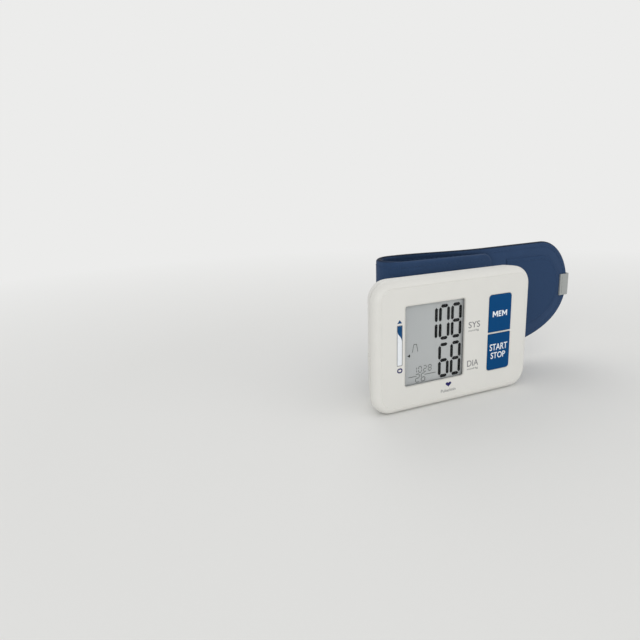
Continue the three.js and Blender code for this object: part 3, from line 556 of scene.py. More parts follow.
# %% Rear cover
BACK_EDGE, BACK_FLAT = 2.0, 2.3
BAY_WALL, CELL_CLEARANCE, DOOR_CLEARANCE = 1.2, 0.35, 0.3
PILLAR_RADIUS, PILLAR_START = 3.9, 3.8
SCREW_SHANK, SCREW_HEAD = 1.05, 2.1
BEYOND = 3.0                    # reach of a cutter past the skin
cell_box, door_box = node_box("cell_lower"), node_box("battery_door")
BAY_RIGHT = node_box("battery_contact")[1][0] + SEAT
BAY_FRONT, BAY_BACK = cell_box[0][1] - CELL_CLEARANCE, cell_box[1][1] + CELL_CLEARANCE
BAY_LOW, BAY_HIGH = door_box[0][2] - DOOR_CLEARANCE, door_box[1][2] + DOOR_CLEARANCE


def screw_place(name):
    """Middle of a screw as x and z, the radius of its head, and the depth that its head rests at."""
    low, high = node_box(name)
    return (low[0] + high[0]) / 2, (low[2] + high[2]) / 2, (high[0] - low[0]) / 2, high[1] - SCREW_HEAD


def box_between(name, x0, x1, y0, y1, z0, z1, corner=0.2):
    """Box between two depths, with its four long edges a little round."""
    outline = round_rect(x0, x1, z0, z1, corner, steps=3)
    return Surface().solid([at_depth(outline, y0), at_depth(outline, y1)]).build(name)


def bar_between(name, x, y0, y1, z, radius):
    """Round bar between two depths: a rounded square whose corners take up almost all of it."""
    outline = round_rect(x - radius, x + radius, z - radius, z + radius, radius * 0.999, steps=12)
    return Surface().solid([at_depth(outline, y0), at_depth(outline, y1)]).build(name)


def rear_skin():
    """Rings of the tub's outside, from the parting rim over the level top to the rounded back edge."""
    rim = [casing_ring(REAR_FRONT, RIM_BREAK), casing_ring(REAR_FRONT + RIM_BREAK, 0)]
    flanks = [casing_ring(TOP_START, 0), casing_ring((TOP_START + BACK) / 2, 0)]
    edge = [casing_ring(BACK - drop, inset) for drop, inset in quarter(BACK_EDGE, 8)]
    return rim + flanks + edge + [casing_ring(BACK, BACK_FLAT)]


def rear_cover():
    """Tub in rings. The bay's block and the pillars are trimmed to the middle of the tub's wall and joined
    to it. The screws' recesses and holes and the bay are then cut out."""
    inside = [casing_ring(REAR_INNER, SIDE_WALL + INNER_CORNER)]
    inside += [casing_ring(y, SIDE_WALL) for y in (REAR_INNER - INNER_CORNER, TOP_START, REAR_FRONT)]
    tub = Surface().solid(inside + rear_skin()).build("rear_shell")
    left = -HALF_WIDTH - BEYOND
    screws = [screw_place(f"case_screw_{number}") for number in (1, 2, 3)]
    added = [box_between("bay", left, BAY_RIGHT + BAY_WALL, BAY_FRONT - BAY_WALL, BACK, BAY_LOW - BAY_WALL,
                         BAY_HIGH + BAY_WALL)]
    added += [bar_between("pillar", x, PARTING + PILLAR_START, BACK, z, PILLAR_RADIUS)
              for x, z, _, _ in screws]
    for piece in added:
        depths = (REAR_FRONT, TOP_START, (REAR_INNER + BACK) / 2)
        bulk = Surface().solid([casing_ring(depth, SIDE_WALL / 2) for depth in depths]).build("bulk")
        combine(tub, combine(piece, bulk, "INTERSECT"), "UNION")
    for x, z, head, seat in screws:
        combine(tub, bar_between("recess", x, seat, BACK + BEYOND, z, head + SEAT), "DIFFERENCE")
        combine(tub, bar_between("hole", x, REAR_FRONT, seat + BEYOND, z, SCREW_SHANK + SEAT), "DIFFERENCE")
    combine(tub, box_between("bay", left, BAY_RIGHT, BAY_FRONT, BAY_BACK, BAY_LOW, BAY_HIGH), "DIFFERENCE")
    join_up(tub.data, 1e-3)
    return shade(tub, 30)


settle(rear_cover(), "casing", ivory, "casing_plastic", "rear_cover")

# %% [markdown]
# The display is a clear window set just behind the face, with a grey liquid crystal panel under it. The
# window is a plug with a flange that holds it from behind. Glass shaders darken a thin pane, so a low
# constant alpha is used: most of the light passes, and the rest shows the gloss of the polished pane.

# %% Display window
LENS_FRONT, LENS_BACK = FRONT + SEAT, node_box("display_lens")[1][1]
PANE_EDGE, PANE_FLANGE = 0.15, 0.5


def pane_ring(grow, depth):
    """Outline of the pane's plug, wider by grow, at one depth."""
    return at_depth(grown(WINDOW, WINDOW_CORNER - SEAT, WINDOW_CORNER - SEAT, grow - SEAT), depth)


def display_window():
    """Plug in rings: its flange, its wall and a small quarter round at the front."""
    shoulder = LENS_BACK - PANE_FLANGE
    flange = [pane_ring(WINDOW_LIP + SEAT, depth) for depth in (LENS_BACK, shoulder)]
    edge = [pane_ring(-inset, LENS_FRONT + drop) for drop, inset in quarter(PANE_EDGE, 4)]
    return Surface().solid([*flange, pane_ring(0, shoulder), *edge]).build("display_window")


pane = Finish("clear_pane", srgb(80, 83, 84), Alpha=0.06, IOR=1.49)
pane.wear(Roughness=pane.wander(160.0, 0.05, 0.12))
settle(display_window(), "casing", pane.material, "clear_lens", "display_lens")

# %% [markdown]
# Each key is one moulding: a cap that stands half a millimetre out of the face, and a flange behind the
# face that keeps it in. A cap pressed from a grid would have square edges, so rings are carried over a
# small rounded edge and then inwards over a slight dome.

# %% Keys
KEY_EDGE, KEY_LEAST_CORNER = 0.4, 0.12
KEY_DOME, DOME_RUN = 0.05, 5.6
FLANGE_DEPTH = 0.8


def key_ring(key, shrink, depth):
    """Outline of a key's cap, smaller by shrink; its corners keep a small radius."""
    (x0, x1, z0, z1), *corners = key
    low, high = (max(corner - shrink, KEY_LEAST_CORNER) for corner in corners)
    return at_depth(round_rect(x0 + shrink, x1 - shrink, z0 + shrink, z1 - shrink, low, high, 6), depth)


def dome_drop(inset):
    """How far the cap's front lies behind its middle: the dome rises with the sine of how far a point is in
    from the rounded edge."""
    part = np.clip((inset - KEY_EDGE) / DOME_RUN, 0, 1)
    return KEY_DOME * (1 - np.sin(part * np.pi / 2))


def key_cap(name, node):
    """Key in rings: its flange, the cap's wall, a quarter round and the dome, which is closed in its
    middle."""
    key = KEYS[node]
    low, high = node_box(node)
    corners = [corner if corner == KEY_SPLIT_CORNER else corner + KEY_FLANGE for corner in key[1:]]
    flange = round_rect(low[0], high[0], low[2], high[2], *corners, 6)
    shoulder = FRONT_INNER + SEAT
    edge = [key_ring(key, inset, low[1] + KEY_DOME + drop) for drop, inset in quarter(KEY_EDGE, 6)]
    inward = KEY_EDGE + DOME_RUN * np.linspace(0, 1, 9)[1:]
    dome = [key_ring(key, inset, low[1] + dome_drop(inset)) for inset in inward]
    back = [at_depth(flange, shoulder + FLANGE_DEPTH), at_depth(flange, shoulder)]
    return Surface().solid([*back, key_ring(key, 0, shoulder), *edge, *dome]).build(name)


for name, node in (("memory_button", "memory_key"), ("start_stop_button", "start_stop_key")):
    settle(key_cap(name, node), node, key_blue, "key_plastic", node)

# %% [markdown]
# The panel shows its figures as dark bars, seven to a figure, which stand out on a pale grey ground. They
# could be painted by a texture, but bars of their own stay sharp at any distance. Each bar is a thin
# six-sided slip, and the small figures on the left are of the same make but finer and paler.

# %% Bars of the display
PANEL_FRONT = node_box("lcd_panel")[0][1]
BAR_FRONT, BAR_BACK = PANEL_FRONT - 0.05, PANEL_FRONT - 0.01
SEGMENTS = {"0": "abcdef", "1": "bc", "2": "abdeg", "6": "acdefg", "8": "abcdefg"}
SEGMENT_PLACES = {"a": (0, 1), "g": (0, 0), "d": (0, -1), "b": (1, 0.5), "c": (1, -0.5), "e": (-1, -0.5),
                  "f": (-1, 0.5)}


def slip(surface, outline):
    """Thin closed slip of an outline, which stands a hair's breadth in front of the panel."""
    return surface.solid([at_depth(outline, BAR_BACK), at_depth(outline, BAR_FRONT)])


def bar_outline(x, z, half_length, half_width, upright=False):
    """Six-sided bar: a strip whose ends come to a blunt point."""
    shoulder = half_length - 0.9 * half_width
    along = np.array([-half_length, -shoulder, shoulder, half_length, shoulder, -shoulder])
    across = half_width * np.array([0, 1, 1, 0, -1, -1])
    return np.stack([x + across, z + along] if upright else [x + along, z + across], -1)


def figures(surface, digits, right, middle, pitch, half_wide, half_tall, half_width, gap):
    """Row of figures, set from the right at an even pitch. Each has up to three level bars and four upright
    ones about its middle, as its segments say."""
    for place, digit in enumerate(reversed(digits)):
        for letter in SEGMENTS[digit]:
            across, up = SEGMENT_PLACES[letter]
            upright = across != 0
            x, z = right - pitch * place + across * half_wide, middle + up * half_tall
            half_length = half_tall / 2 - gap if upright else half_wide - gap / 2
            slip(surface, bar_outline(x, z, half_length, half_width, upright))


print("bars of an eight:", len(SEGMENTS["8"]))

# %% [markdown]
# Two large readings stand on the right of the panel, one above the other. On the left are two rows of fine
# figures, two dashes, a small arch and a pointer. The picture's own fine figures are too small to read, so
# plain ones take their place. A display font could set them, but bars at an even pitch need few sizes.

# %% Figures on the display
READINGS = (("108", 39.1), ("68", 20.75))
READING_SET = {"right": 0.65, "pitch": 6.83, "half_wide": 2.28, "half_tall": 7.6, "half_width": 0.78,
               "gap": 0.44}
FINE_UPPER = {"right": -13.9, "middle": 18.5, "pitch": 2.7, "half_wide": 0.8, "half_tall": 1.4}
FINE_LOWER = {"right": -17.6, "middle": 14.5, "pitch": 3.1, "half_wide": 1.0, "half_tall": 1.9}
FINE_WIDTH, FINE_GAP, DASH_WIDTH = 0.2, 0.16, 0.16
ARCH_X = -22.1
HALF_ARCH = np.array([(0.5, 31.0), (0.85, 31.0), (1.65, 27.1), (1.35, 27.1), (0.72, 30.2), (0.5, 30.6)])
DASHES = ((-23.4, 15.5, 2.3), (-13.6, 15.6, 3.2))
ARCH_TOP = (ARCH_X, 30.85, 0.7)
POINTER = np.array([(-26.2, 25.8), (-25.0, 26.6), (-24.8, 25.8), (-25.0, 25.0)])


def reading():
    """The two large readings, each a row of figures about its own middle."""
    marks = Surface()
    for digits, middle in READINGS:
        figures(marks, digits, middle=middle, **READING_SET)
    return marks.build("lcd_reading", 20)


def small_marks():
    """The fine figures, the dashes and the arch, whose two legs are mirrored about its middle."""
    marks = Surface()
    for digits, places in (("1028", FINE_UPPER), ("26", FINE_LOWER)):
        figures(marks, digits, half_width=FINE_WIDTH, gap=FINE_GAP, **places)
    for side in (-1, 1):
        slip(marks, np.stack([ARCH_X + side * HALF_ARCH[:, 0], HALF_ARCH[:, 1]], -1))
    for x, z, half_length in (*DASHES, ARCH_TOP):
        slip(marks, bar_outline(x, z, half_length, DASH_WIDTH))
    return marks.build("lcd_small_marks", 20)


def ink(name, colour, vary=0.08):
    """Printed or liquid crystal ink with a slight unevenness."""
    made = Finish(name, colour, Roughness=0.5, Specular_IOR_Level=0.12)
    return made.wear(Base_Color=made.drift(900.0, *shades(colour, vary)))


crystal_black = ink("crystal_black", srgb(10, 11, 12))
settle(reading(), "casing", crystal_black, "dark_plastic")
settle(slip(Surface(), POINTER).build("lcd_pointer", 20), "casing", crystal_black, "dark_plastic")
settle(small_marks(), "casing", ink("crystal_faint", srgb(118, 122, 120)), "dark_plastic")

# %% [markdown]
# Plain words and marks are printed on the face and the keys. A printed mark could be a texture, but as a
# film of its own it stays sharp. Blender's own font gives the letters. They are made a mesh, stood up and
# fitted to their place, and they follow the slight dome of the keys.

# %% Letters and marks
FILM = 0.03                     # thickness of a printed mark
FACE_GAP, KEY_GAP = 0.005, 0.012
LETTER_DEPTH, LETTER_STEPS = 0.01, 4


def on_face(x, z):
    """Depth of a mark on the flat face, which is the same everywhere."""
    return np.full(np.shape(x), FRONT - FACE_GAP)


def on_key(node):
    """Depth of a mark on a key's domed front, as a function of its place: the dome's drop by how far the
    place lies from the nearest side of the cap."""
    (x0, x1, z0, z1), front = KEYS[node][0], node_box(node)[0][1]

    def depth(x, z):
        """Front of the key, less a hair's breadth, plus the drop of the dome."""
        inset = np.minimum(np.minimum(x - x0, x1 - x), np.minimum(z - z0, z1 - z))
        return front + dome_drop(inset) - KEY_GAP
    return depth


def words(surface, text, bounds, depth, weight=0.0):
    """Letters fitted into a box on a surface: their flat width and height are scaled to the box's, and
    their thickness stands off the surface. A weight makes them bolder."""
    curve = bpy.data.curves.new("words", "FONT")
    curve.body, curve.offset = text, weight
    curve.extrude, curve.resolution_u = LETTER_DEPTH, LETTER_STEPS
    letters = new_object("words", curve)
    mesh = as_shown(letters)
    bpy.data.objects.remove(letters)
    flat = mesh_points(mesh)
    x0, x1, z0, z1 = bounds
    share = (flat - flat.min(0)) / (flat.max(0) - flat.min(0))
    x, z = x0 + (x1 - x0) * share[:, 0], z0 + (z1 - z0) * share[:, 1]
    y = depth(x, z) - FILM * (flat[:, 2] > 0)
    return surface.add(np.stack([x, y, z], -1), [list(face.vertices) for face in mesh.polygons])


def mark(surface, *loops, depth=on_face):
    """Flat printed mark inside its first loop, with the other loops left open, on a surface of some
    depth."""
    flat = np.concatenate(loops)
    back = depth(flat[:, 0], flat[:, 1])
    surface.plate(loops, back).plate(loops, back - FILM)
    for loop in loops:
        back = depth(loop[:, 0], loop[:, 1])
        surface.loft([at_depth(loop, back), at_depth(loop, back - FILM)])
    return surface


def frame_of(x0, x1, z0, z1, corner, stroke):
    """Two loops of a thin rounded frame."""
    return [round_rect(x0 + grow, x1 - grow, z0 + grow, z1 - grow, corner - grow, steps=5)
            for grow in (0, stroke)]


print("film:", FILM, "mm")

# %% [markdown]
# The face says what each reading is and its unit. To the left of the display is a scale that narrows
# downwards, with an arrow head above it and a ring below it, and under the display is a heart for the
# pulse.

# %% Printing on the face
FACE_WORDS = (("SYS", (6.4, 13.2, 34.6, 37.6)), ("mmHg", (6.5, 12.6, 32.6, 33.8)),
              ("DIA", (6.3, 12.9, 15.7, 18.7)), ("mmHg", (6.4, 12.8, 13.7, 14.9)),
              ("Pulse/min", (-8.7, -0.2, 5.45, 6.95)))
SCALE_FRAME = (-33.05, -30.15, 22.7, 41.35, 0.4, 0.26)
SCALE_LEFT, SCALE_RIGHT, SCALE_LOW, SCALE_TOP = -32.75, -30.45, 23.0, 41.05
WEDGE_FOOT = bezier((SCALE_RIGHT, 33.8), (-30.6, 36.6), (-32.7, 36.6), (SCALE_LEFT, 38.9), 16)
WEDGE_GAP = 0.06
ARROW = np.array([(-32.9, 42.2), (-30.4, 42.2), (-31.65, 43.8)])
HEART_PLACE, HEART_SIZE = (-4.45, 9.2), (1.65 / 16, 1.2 / 14.5)
RING = (-32.9, -30.1, 19.35, 21.65, 1.1, 0.6)


def face_words():
    """The words in their boxes, and the scale's thin frame."""
    print_grey = Surface()
    for text, bounds in FACE_WORDS:
        words(print_grey, text, bounds, on_face)
    return mark(print_grey, *frame_of(*SCALE_FRAME)).build("face_words", 20)


def scale_marks():
    """Wedge that narrows downwards along a cubic curve, and an arrow head above it."""
    wedge = np.concatenate([[(SCALE_LEFT, SCALE_TOP), (SCALE_RIGHT, SCALE_TOP)], WEDGE_FOOT])
    return mark(mark(Surface(), wedge), ARROW).build("scale_marks", 20)


def scale_ground():
    """White ground of the scale: it is bounded by the wedge's curve, moved down a little, and three
    sides."""
    foot = WEDGE_FOOT[::-1] - (0, WEDGE_GAP)
    ground = np.concatenate([foot, [(SCALE_RIGHT, SCALE_LOW), (SCALE_LEFT, SCALE_LOW)]])
    return mark(Surface(), ground).build("scale_ground", 20)


def pulse_marks():
    """Heart, whose height is a sum of cosines of one angle and whose width is the cube of its sine, and a
    ring."""
    t = np.linspace(0, 2 * np.pi, 48, endpoint=False)
    high = 13 * np.cos(t) - 5 * np.cos(2 * t) - 2 * np.cos(3 * t) - np.cos(4 * t)
    heart = np.stack([16 * np.sin(t) ** 3, high], -1) * HEART_SIZE + HEART_PLACE
    return mark(mark(Surface(), heart), *frame_of(*RING)).build("pulse_marks", 20)


print_white = ink("print_white", srgb(230, 234, 238), 0.02)
settle(face_words(), "casing", ink("print_grey", srgb(116, 116, 119)), "dark_plastic")
settle(scale_marks(), "casing", ink("print_blue", srgb(16, 70, 116)), "key_plastic")
settle(pulse_marks(), "casing", ink("print_violet", srgb(42, 38, 96)), "key_plastic")
settle(scale_ground(), "casing", print_white, "white_plastic")

# %% [markdown]
# Each key says in white what it does. The font's own M does not fill when it is made bolder, so the upper
# key's three letters are drawn in plain strokes, on a square that is scaled to each letter's width and
# height.

# %% Printing on the keys
LETTER_M = np.array([(0, 0), (0.2, 0), (0.2, 0.62), (0.5, 0.16), (0.8, 0.62), (0.8, 0), (1, 0), (1, 1),
                     (0.78, 1), (0.5, 0.5), (0.22, 1), (0, 1)])
LETTER_E = np.array([(0, 0), (1, 0), (1, 0.19), (0.32, 0.19), (0.32, 0.41), (0.9, 0.41), (0.9, 0.59),
                     (0.32, 0.59), (0.32, 0.81), (1, 0.81), (1, 1), (0, 1)])
MEMORY_LETTERS = ((LETTER_M, 20.3, 3.1), (LETTER_E, 23.85, 1.7), (LETTER_M, 26.0, 3.1))
MEMORY_LOW, MEMORY_HIGH = 38.2, 2.8
START_STOP_WORDS = (("START", (19.3, 30.2, 21.5, 24.8)), ("STOP", (20.1, 29.1, 17.4, 20.5)))
BOLD = 0.012


def memory_words():
    """Three letters: each outline on the unit square, times its size, plus its place."""
    white = Surface()
    for letter, x, wide in MEMORY_LETTERS:
        mark(white, letter * (wide, MEMORY_HIGH) + (x, MEMORY_LOW), depth=on_key("memory_key"))
    return white.build("memory_words", 20)


def start_stop_words():
    """Two words in the font's own letters, made bolder."""
    white = Surface()
    for text, bounds in START_STOP_WORDS:
        words(white, text, bounds, on_key("start_stop_key"), BOLD)
    return white.build("start_stop_words", 20)


settle(memory_words(), "memory_key", print_white, "white_plastic")
settle(start_stop_words(), "start_stop_key", print_white, "white_plastic")

# %% [markdown]
# The battery door closes the bay on the left flank. It follows the slope of the flank, swings out about its
# lower edge, and carries a block that presses its contact on the cells. Its outline is a rounded rectangle
# that is carried inwards from the sloping skin, so its outer face stays flush with the casing.

# %% Battery door
DOOR_THICKNESS, DOOR_CORNER, DOOR_EDGE = 2.0, 0.8, 0.3
FLANK_COSINE, FLANK_SINE = math.cos(FLANK_ANGLE), math.sin(FLANK_ANGLE)
BLOCK_FRONT, BLOCK_BACK, BLOCK_HALF, BLOCK_CORNER = 0.6, 5.6, 7.92, 0.4
RIB_COUNT, RIB_FIRST, RIB_PITCH = 4, 2.6, 1.7
RIB_FRONT, RIB_BACK, RIB_HALF, RIB_CORNER = 1.2, 7.0, 0.45, 0.44
RIB_STEPS = ((0, 0.4), (0.05, -0.2), (0.18, -0.36), (0.34, -0.42))    # insets and depths of a rib's rings


def flank_x(depth):
    """Left skin of the casing at a depth behind the parting line."""
    return -HALF_WIDTH + (depth - REAR_FRONT) * SIDE_TAPER


def door_ring(shrink, depth):
    """Outline of the door at a depth behind the skin. Its front end runs straight inwards, and its rear end
    square to the flank, so that it clears the opening when the door swings out."""
    low, high = door_box
    outline = round_rect(low[1] + shrink, high[1] - shrink, low[2] + shrink, high[2] - shrink, DOOR_CORNER,
                         steps=5)
    y, z = outline.T
    along = (y - low[1]) / (high[1] - low[1])
    x = flank_x(y) + depth * (1 - FLANK_SINE ** 2 * along)
    return np.stack([x, y - depth * FLANK_COSINE * FLANK_SINE * along, z], -1)


def on_door(outline, depth):
    """Outline of (y, z) laid on the sloping flank at a depth behind the skin."""
    return np.stack([flank_x(outline[:, 0]) + depth, outline[:, 0], outline[:, 1]], -1)


def finger_rib(z):
    """One low rib across the door at a height: rings that draw in as they rise from the skin."""
    rings = []
    for shrink, depth in RIB_STEPS:
        half = RIB_HALF - shrink
        outline = round_rect(RIB_FRONT + shrink, RIB_BACK - shrink, z - half, z + half, RIB_CORNER - shrink,
                             steps=4)
        rings.append(on_door(outline, depth))
    return Surface().solid(rings).build("rib")


def battery_lid():
    """Door in rings with a quarter-round edge. The block that carries the contact and the ribs are joined
    on."""
    low, high = door_box
    edge = [door_ring(inset, drop) for drop, inset in quarter(DOOR_EDGE, 4)[::-1]]
    lid = Surface().solid(edge + [door_ring(0, DOOR_THICKNESS)]).build("battery_lid")
    middle = (low[2] + high[2]) / 2
    block = round_rect(BLOCK_FRONT, BLOCK_BACK, middle - BLOCK_HALF, middle + BLOCK_HALF, BLOCK_CORNER,
                       steps=3)
    inner = np.stack([np.full(len(block), high[0]), block[:, 0], block[:, 1]], -1)
    combine(lid, Surface().solid([on_door(block, DOOR_THICKNESS / 2), inner]).build("block"), "UNION")
    for number in range(RIB_COUNT):
        combine(lid, finger_rib(high[2] - RIB_FIRST - RIB_PITCH * number), "UNION")
    return shade(lid, 40)


settle(battery_lid(), "battery_door", ivory, "casing_plastic", "battery_door")

# %% [markdown]
# The cuff is one long padded band. It starts behind the casing, turns round at the left, comes back as the
# far wall of the wrist loop and ends in a free flap. All its pieces lie along one path seen from above, so
# a point of the cuff is given by the length along that path, its height, and how far it stands off the
# middle of the band.

# %% Path of the cuff
CUFF_HALF = 1.5                 # half the thickness of the band
BEND_X, BEND_RADIUS = -12.4, 7.5
FLAP_START, FLAP_Y, FLAP_END = 44.4, 19.3, 104.0
FLAP_TIP_Z = 41.0
FAR_HANDLES = (10, 20)          # where the far wall's curve is drawn towards the loop and towards the flap
PATH_SPARE = 5                  # straight run past the flap's end
HEADING_STEP = 0.4
panel_low, panel_high = node_box("cuff_panel")
wrap_low, wrap_high = node_box("cuff_wrap")
lining_high = node_box("cuff_lining")[1]
NEAR_Y = panel_low[1] + CUFF_HALF
FAR_Y = NEAR_Y + 2 * BEND_RADIUS
BEND_START = panel_high[0] - BEND_X
BEND_STOP = BEND_START + np.pi * BEND_RADIUS

turn = np.linspace(-np.pi / 2, -3 * np.pi / 2, 240)
bend = np.array([BEND_X, NEAR_Y + BEND_RADIUS]) + BEND_RADIUS * np.stack([np.cos(turn), np.sin(turn)], -1)
far_wall = bezier((BEND_X, FAR_Y), (FAR_HANDLES[0], FAR_Y), (FAR_HANDLES[1], FLAP_Y), (FLAP_START, FLAP_Y))
path_points = np.concatenate([[[panel_high[0], NEAR_Y]], bend, far_wall[1:],
                              [[FLAP_END + PATH_SPARE, FLAP_Y]]])
path_length = run_along(path_points)


def on_path(length):
    """Place on the path at a length along it, as (x, y)."""
    return np.stack([np.interp(length, path_length, path_points[:, axis]) for axis in (0, 1)], -1)


def on_cuff(length, height, off):
    """Point of the cuff: the path at that length, moved along the path's outward normal, which is its
    direction turned a quarter to the left, and raised to its height."""
    here = on_path(length)
    heading = unit(on_path(length + HEADING_STEP) - on_path(length - HEADING_STEP))
    x, y = here[..., 0] - heading[..., 1] * off, here[..., 1] + heading[..., 0] * off
    return np.stack([x, y, height], -1)


def length_at(x):
    """Length along the path at a place on the far wall or the flap, where x grows with the length."""
    start = np.searchsorted(path_length, BEND_STOP - 0.01)
    return np.interp(x, path_points[start:, 0], path_length[start:])


print("band:", round(float(length_at(FLAP_END)), 1), "mm long")

# %% [markdown]
# A padded piece is two sheets that meet in a rounded rim, with a hem sewn a little way in. Both sheets are
# grids over the flat shape of the piece, and their distance from the edge sets how thick the padding is
# there. A box with bevels would have a hard rim and no hem.

# %% Grids of the padded pieces
EDGE_ROWS = np.array([0, 0.03, 0.12, 0.3, 0.55, 0.9, 1.35, 1.8, 2.2, 2.5, 2.8, 3.1, 3.5, 4.2, 5.2])
EDGE_SHARE = 2.3                # width, in reaches of these rows, below which they are squeezed
PIECES_AT_ONCE = 120


def clustered(start, stop, step, first=True, last=True):
    """Row of places from start to stop, drawn together at its ends where the rim is round."""
    low = start + EDGE_ROWS if first else np.array([start])
    high = stop - EDGE_ROWS[::-1] if last else np.array([stop])
    count = max(int((high[0] - low[-1]) / step), 2)
    return np.concatenate([low, np.linspace(low[-1], high[0], count + 1)[1:-1], high])


def closing_rows(stop, run, count):
    """Places that draw together towards a round end: the end, less a run times one minus a sine."""
    return stop - run * (1 - np.sin(np.linspace(0, np.pi / 2, count)))


def flat_grid(lengths, low, high, step):
    """Grid over a flat shape between a lower and an upper edge. Near both edges the rows keep their
    distance from the edge, and between them they are spread evenly."""
    width = (high - low)[:, None]
    scale = np.minimum(1, width / (EDGE_SHARE * EDGE_ROWS[-1]))
    count = int(np.max(width) / step)
    part = np.linspace(0, 1, count + 1)[None, 1:-1]
    bottom = low[:, None] + EDGE_ROWS * scale
    top = high[:, None] - EDGE_ROWS[::-1] * scale
    middle = bottom[:, -1:] + (top[:, :1] - bottom[:, -1:]) * part
    height = np.concatenate([bottom, middle, top], 1)
    return np.broadcast_to(lengths[:, None], height.shape), height


def outline_of(lengths, low, high):
    """Closed outline of a flat shape from its two edges."""
    return np.concatenate([np.stack([lengths, low], -1), np.stack([lengths, high], -1)[::-1]])


def edge_distance(u, v, loop):
    """Distance of each point of a grid from a closed outline: the least over its straight pieces, with the
    foot of the perpendicular held on the piece."""
    along = np.roll(loop, -1, 0) - loop
    square = np.maximum((along ** 2).sum(1), 1e-12)
    best = np.full(u.size, np.inf)
    points = np.stack([u.ravel(), v.ravel()], -1)
    for block in np.array_split(np.arange(len(loop)), max(len(loop) // PIECES_AT_ONCE, 1)):
        away = points[:, None] - loop[block]
        foot = np.clip((away * along[block]).sum(-1) / square[block], 0, 1)
        gap = np.linalg.norm(away - foot[..., None] * along[block], axis=-1)
        best = np.minimum(best, gap.min(1))
    return best.reshape(u.shape)


def round_rim(edge, radius):
    """Share of the full thickness: a quarter circle over the rim's radius, then level."""
    return np.sqrt(np.maximum(1 - (1 - np.clip(edge / radius, 0, 1)) ** 2, 0))


print("rows within", EDGE_ROWS[-1], "mm of an edge:", len(EDGE_ROWS))

# %% [markdown]
# The two sheets share the points on their outline. A piece that is cut where its neighbour goes on keeps
# both edges there, and a strip closes them. Each point carries its place on the flat cloth, because the
# knit follows the cloth and not the room.

# %% Padded forms
CLOTH_WELD = 1e-4


def carry(mesh, name, kind, field, values):
    """Keeps a value, or a row of values, for each point of a mesh under a name."""
    mesh.attributes.new(name, kind, "POINT").data.foreach_set(field, np.ravel(values))


def carried(mesh, name, field, width):
    """The values that a mesh carries under a name, as one row for each point."""
    flat = np.empty(width * len(mesh.vertices))
    mesh.attributes[name].data.foreach_get(field, flat)
    return flat.reshape(-1, width)


def quads(grid):
    """Four corners of each cell of a grid of point numbers."""
    return np.stack([grid[:-1, :-1], grid[1:, :-1], grid[1:, 1:], grid[:-1, 1:]], -1).reshape(-1, 4)


def padded_form(name, u, v, edge, outer, inner, place, cut=None, painted_shade_share=0.0, edge_tape_and_shade=0.0):
    """Closed mesh of two sheets over a flat grid. Each sheet stands off the middle by its own thickness,
    and they share the points on the outline, apart from a cut end, which a strip closes. The flat place
    with the share of painted shade, the distance from the edge and the share of the dark edge tape, which
    is partly painted shade, are kept as attributes."""
    index = np.arange(u.size).reshape(u.shape)
    border = np.zeros(u.shape, bool)
    border[[0, -1]] = border[:, [0, -1]] = True
    if cut is not None:
        border[cut, 1:-1] = False
    under = index.copy()
    under[~border] = u.size + np.arange((~border).sum())
    points = np.concatenate([place(u, v, outer).reshape(-1, 3), place(u, v, -inner)[~border]])
    faces = np.concatenate([quads(index), quads(under)[:, ::-1]]).tolist()
    if cut is not None:
        top, low = index[cut], under[cut]
        faces += quads(np.stack([top[1:-1], low[1:-1]])).tolist()
        faces += [[int(top[0]), int(top[1]), int(low[1])], [int(top[-1]), int(low[-2]), int(top[-2])]]
    mesh = bpy.data.meshes.new(name)
    mesh.from_pydata((points * MM).tolist(), [], faces)
    upper = np.stack([u, v, np.zeros_like(u)], -1).reshape(-1, 3)
    lower = np.stack([u, v, np.broadcast_to(painted_shade_share, u.shape)], -1)[~border]
    carry(mesh, "flat", "FLOAT_VECTOR", "vector", np.concatenate([upper, lower]))
    for title, values in (("rim", edge), ("edge_tape_and_shade", np.broadcast_to(edge_tape_and_shade, u.shape))):
        carry(mesh, title, "FLOAT", "value", np.concatenate([values.ravel(), values[~border]]))
    return shade(new_object(name, join_up(mesh, CLOTH_WELD)), 60)


# %% [markdown]
# The cuff's cloth is a brushed navy loop fabric, which hook tape clings to. Close up it is a fine knit
# under a soft nap: small ribs in the bump, noise for the nap, and a sheen that lifts the colour where the
# cloth turns away. The taped edge is darker, partly as painted shade along the rim. The wrist side inside
# the loop is a darker navy, which is painted shade. The knit reads the flat place that the mesh carries.

# %% Cuff fabric
NAVY = srgb(45, 67, 99)
# painted shade: the darker navy of the wrist side inside the loop
PAINTED_SHADE_NAVY = srgb(33, 52, 78)
KNIT = 0.75
NAP_SHARE, KNIT_DEPTH = 0.6, 0.00022


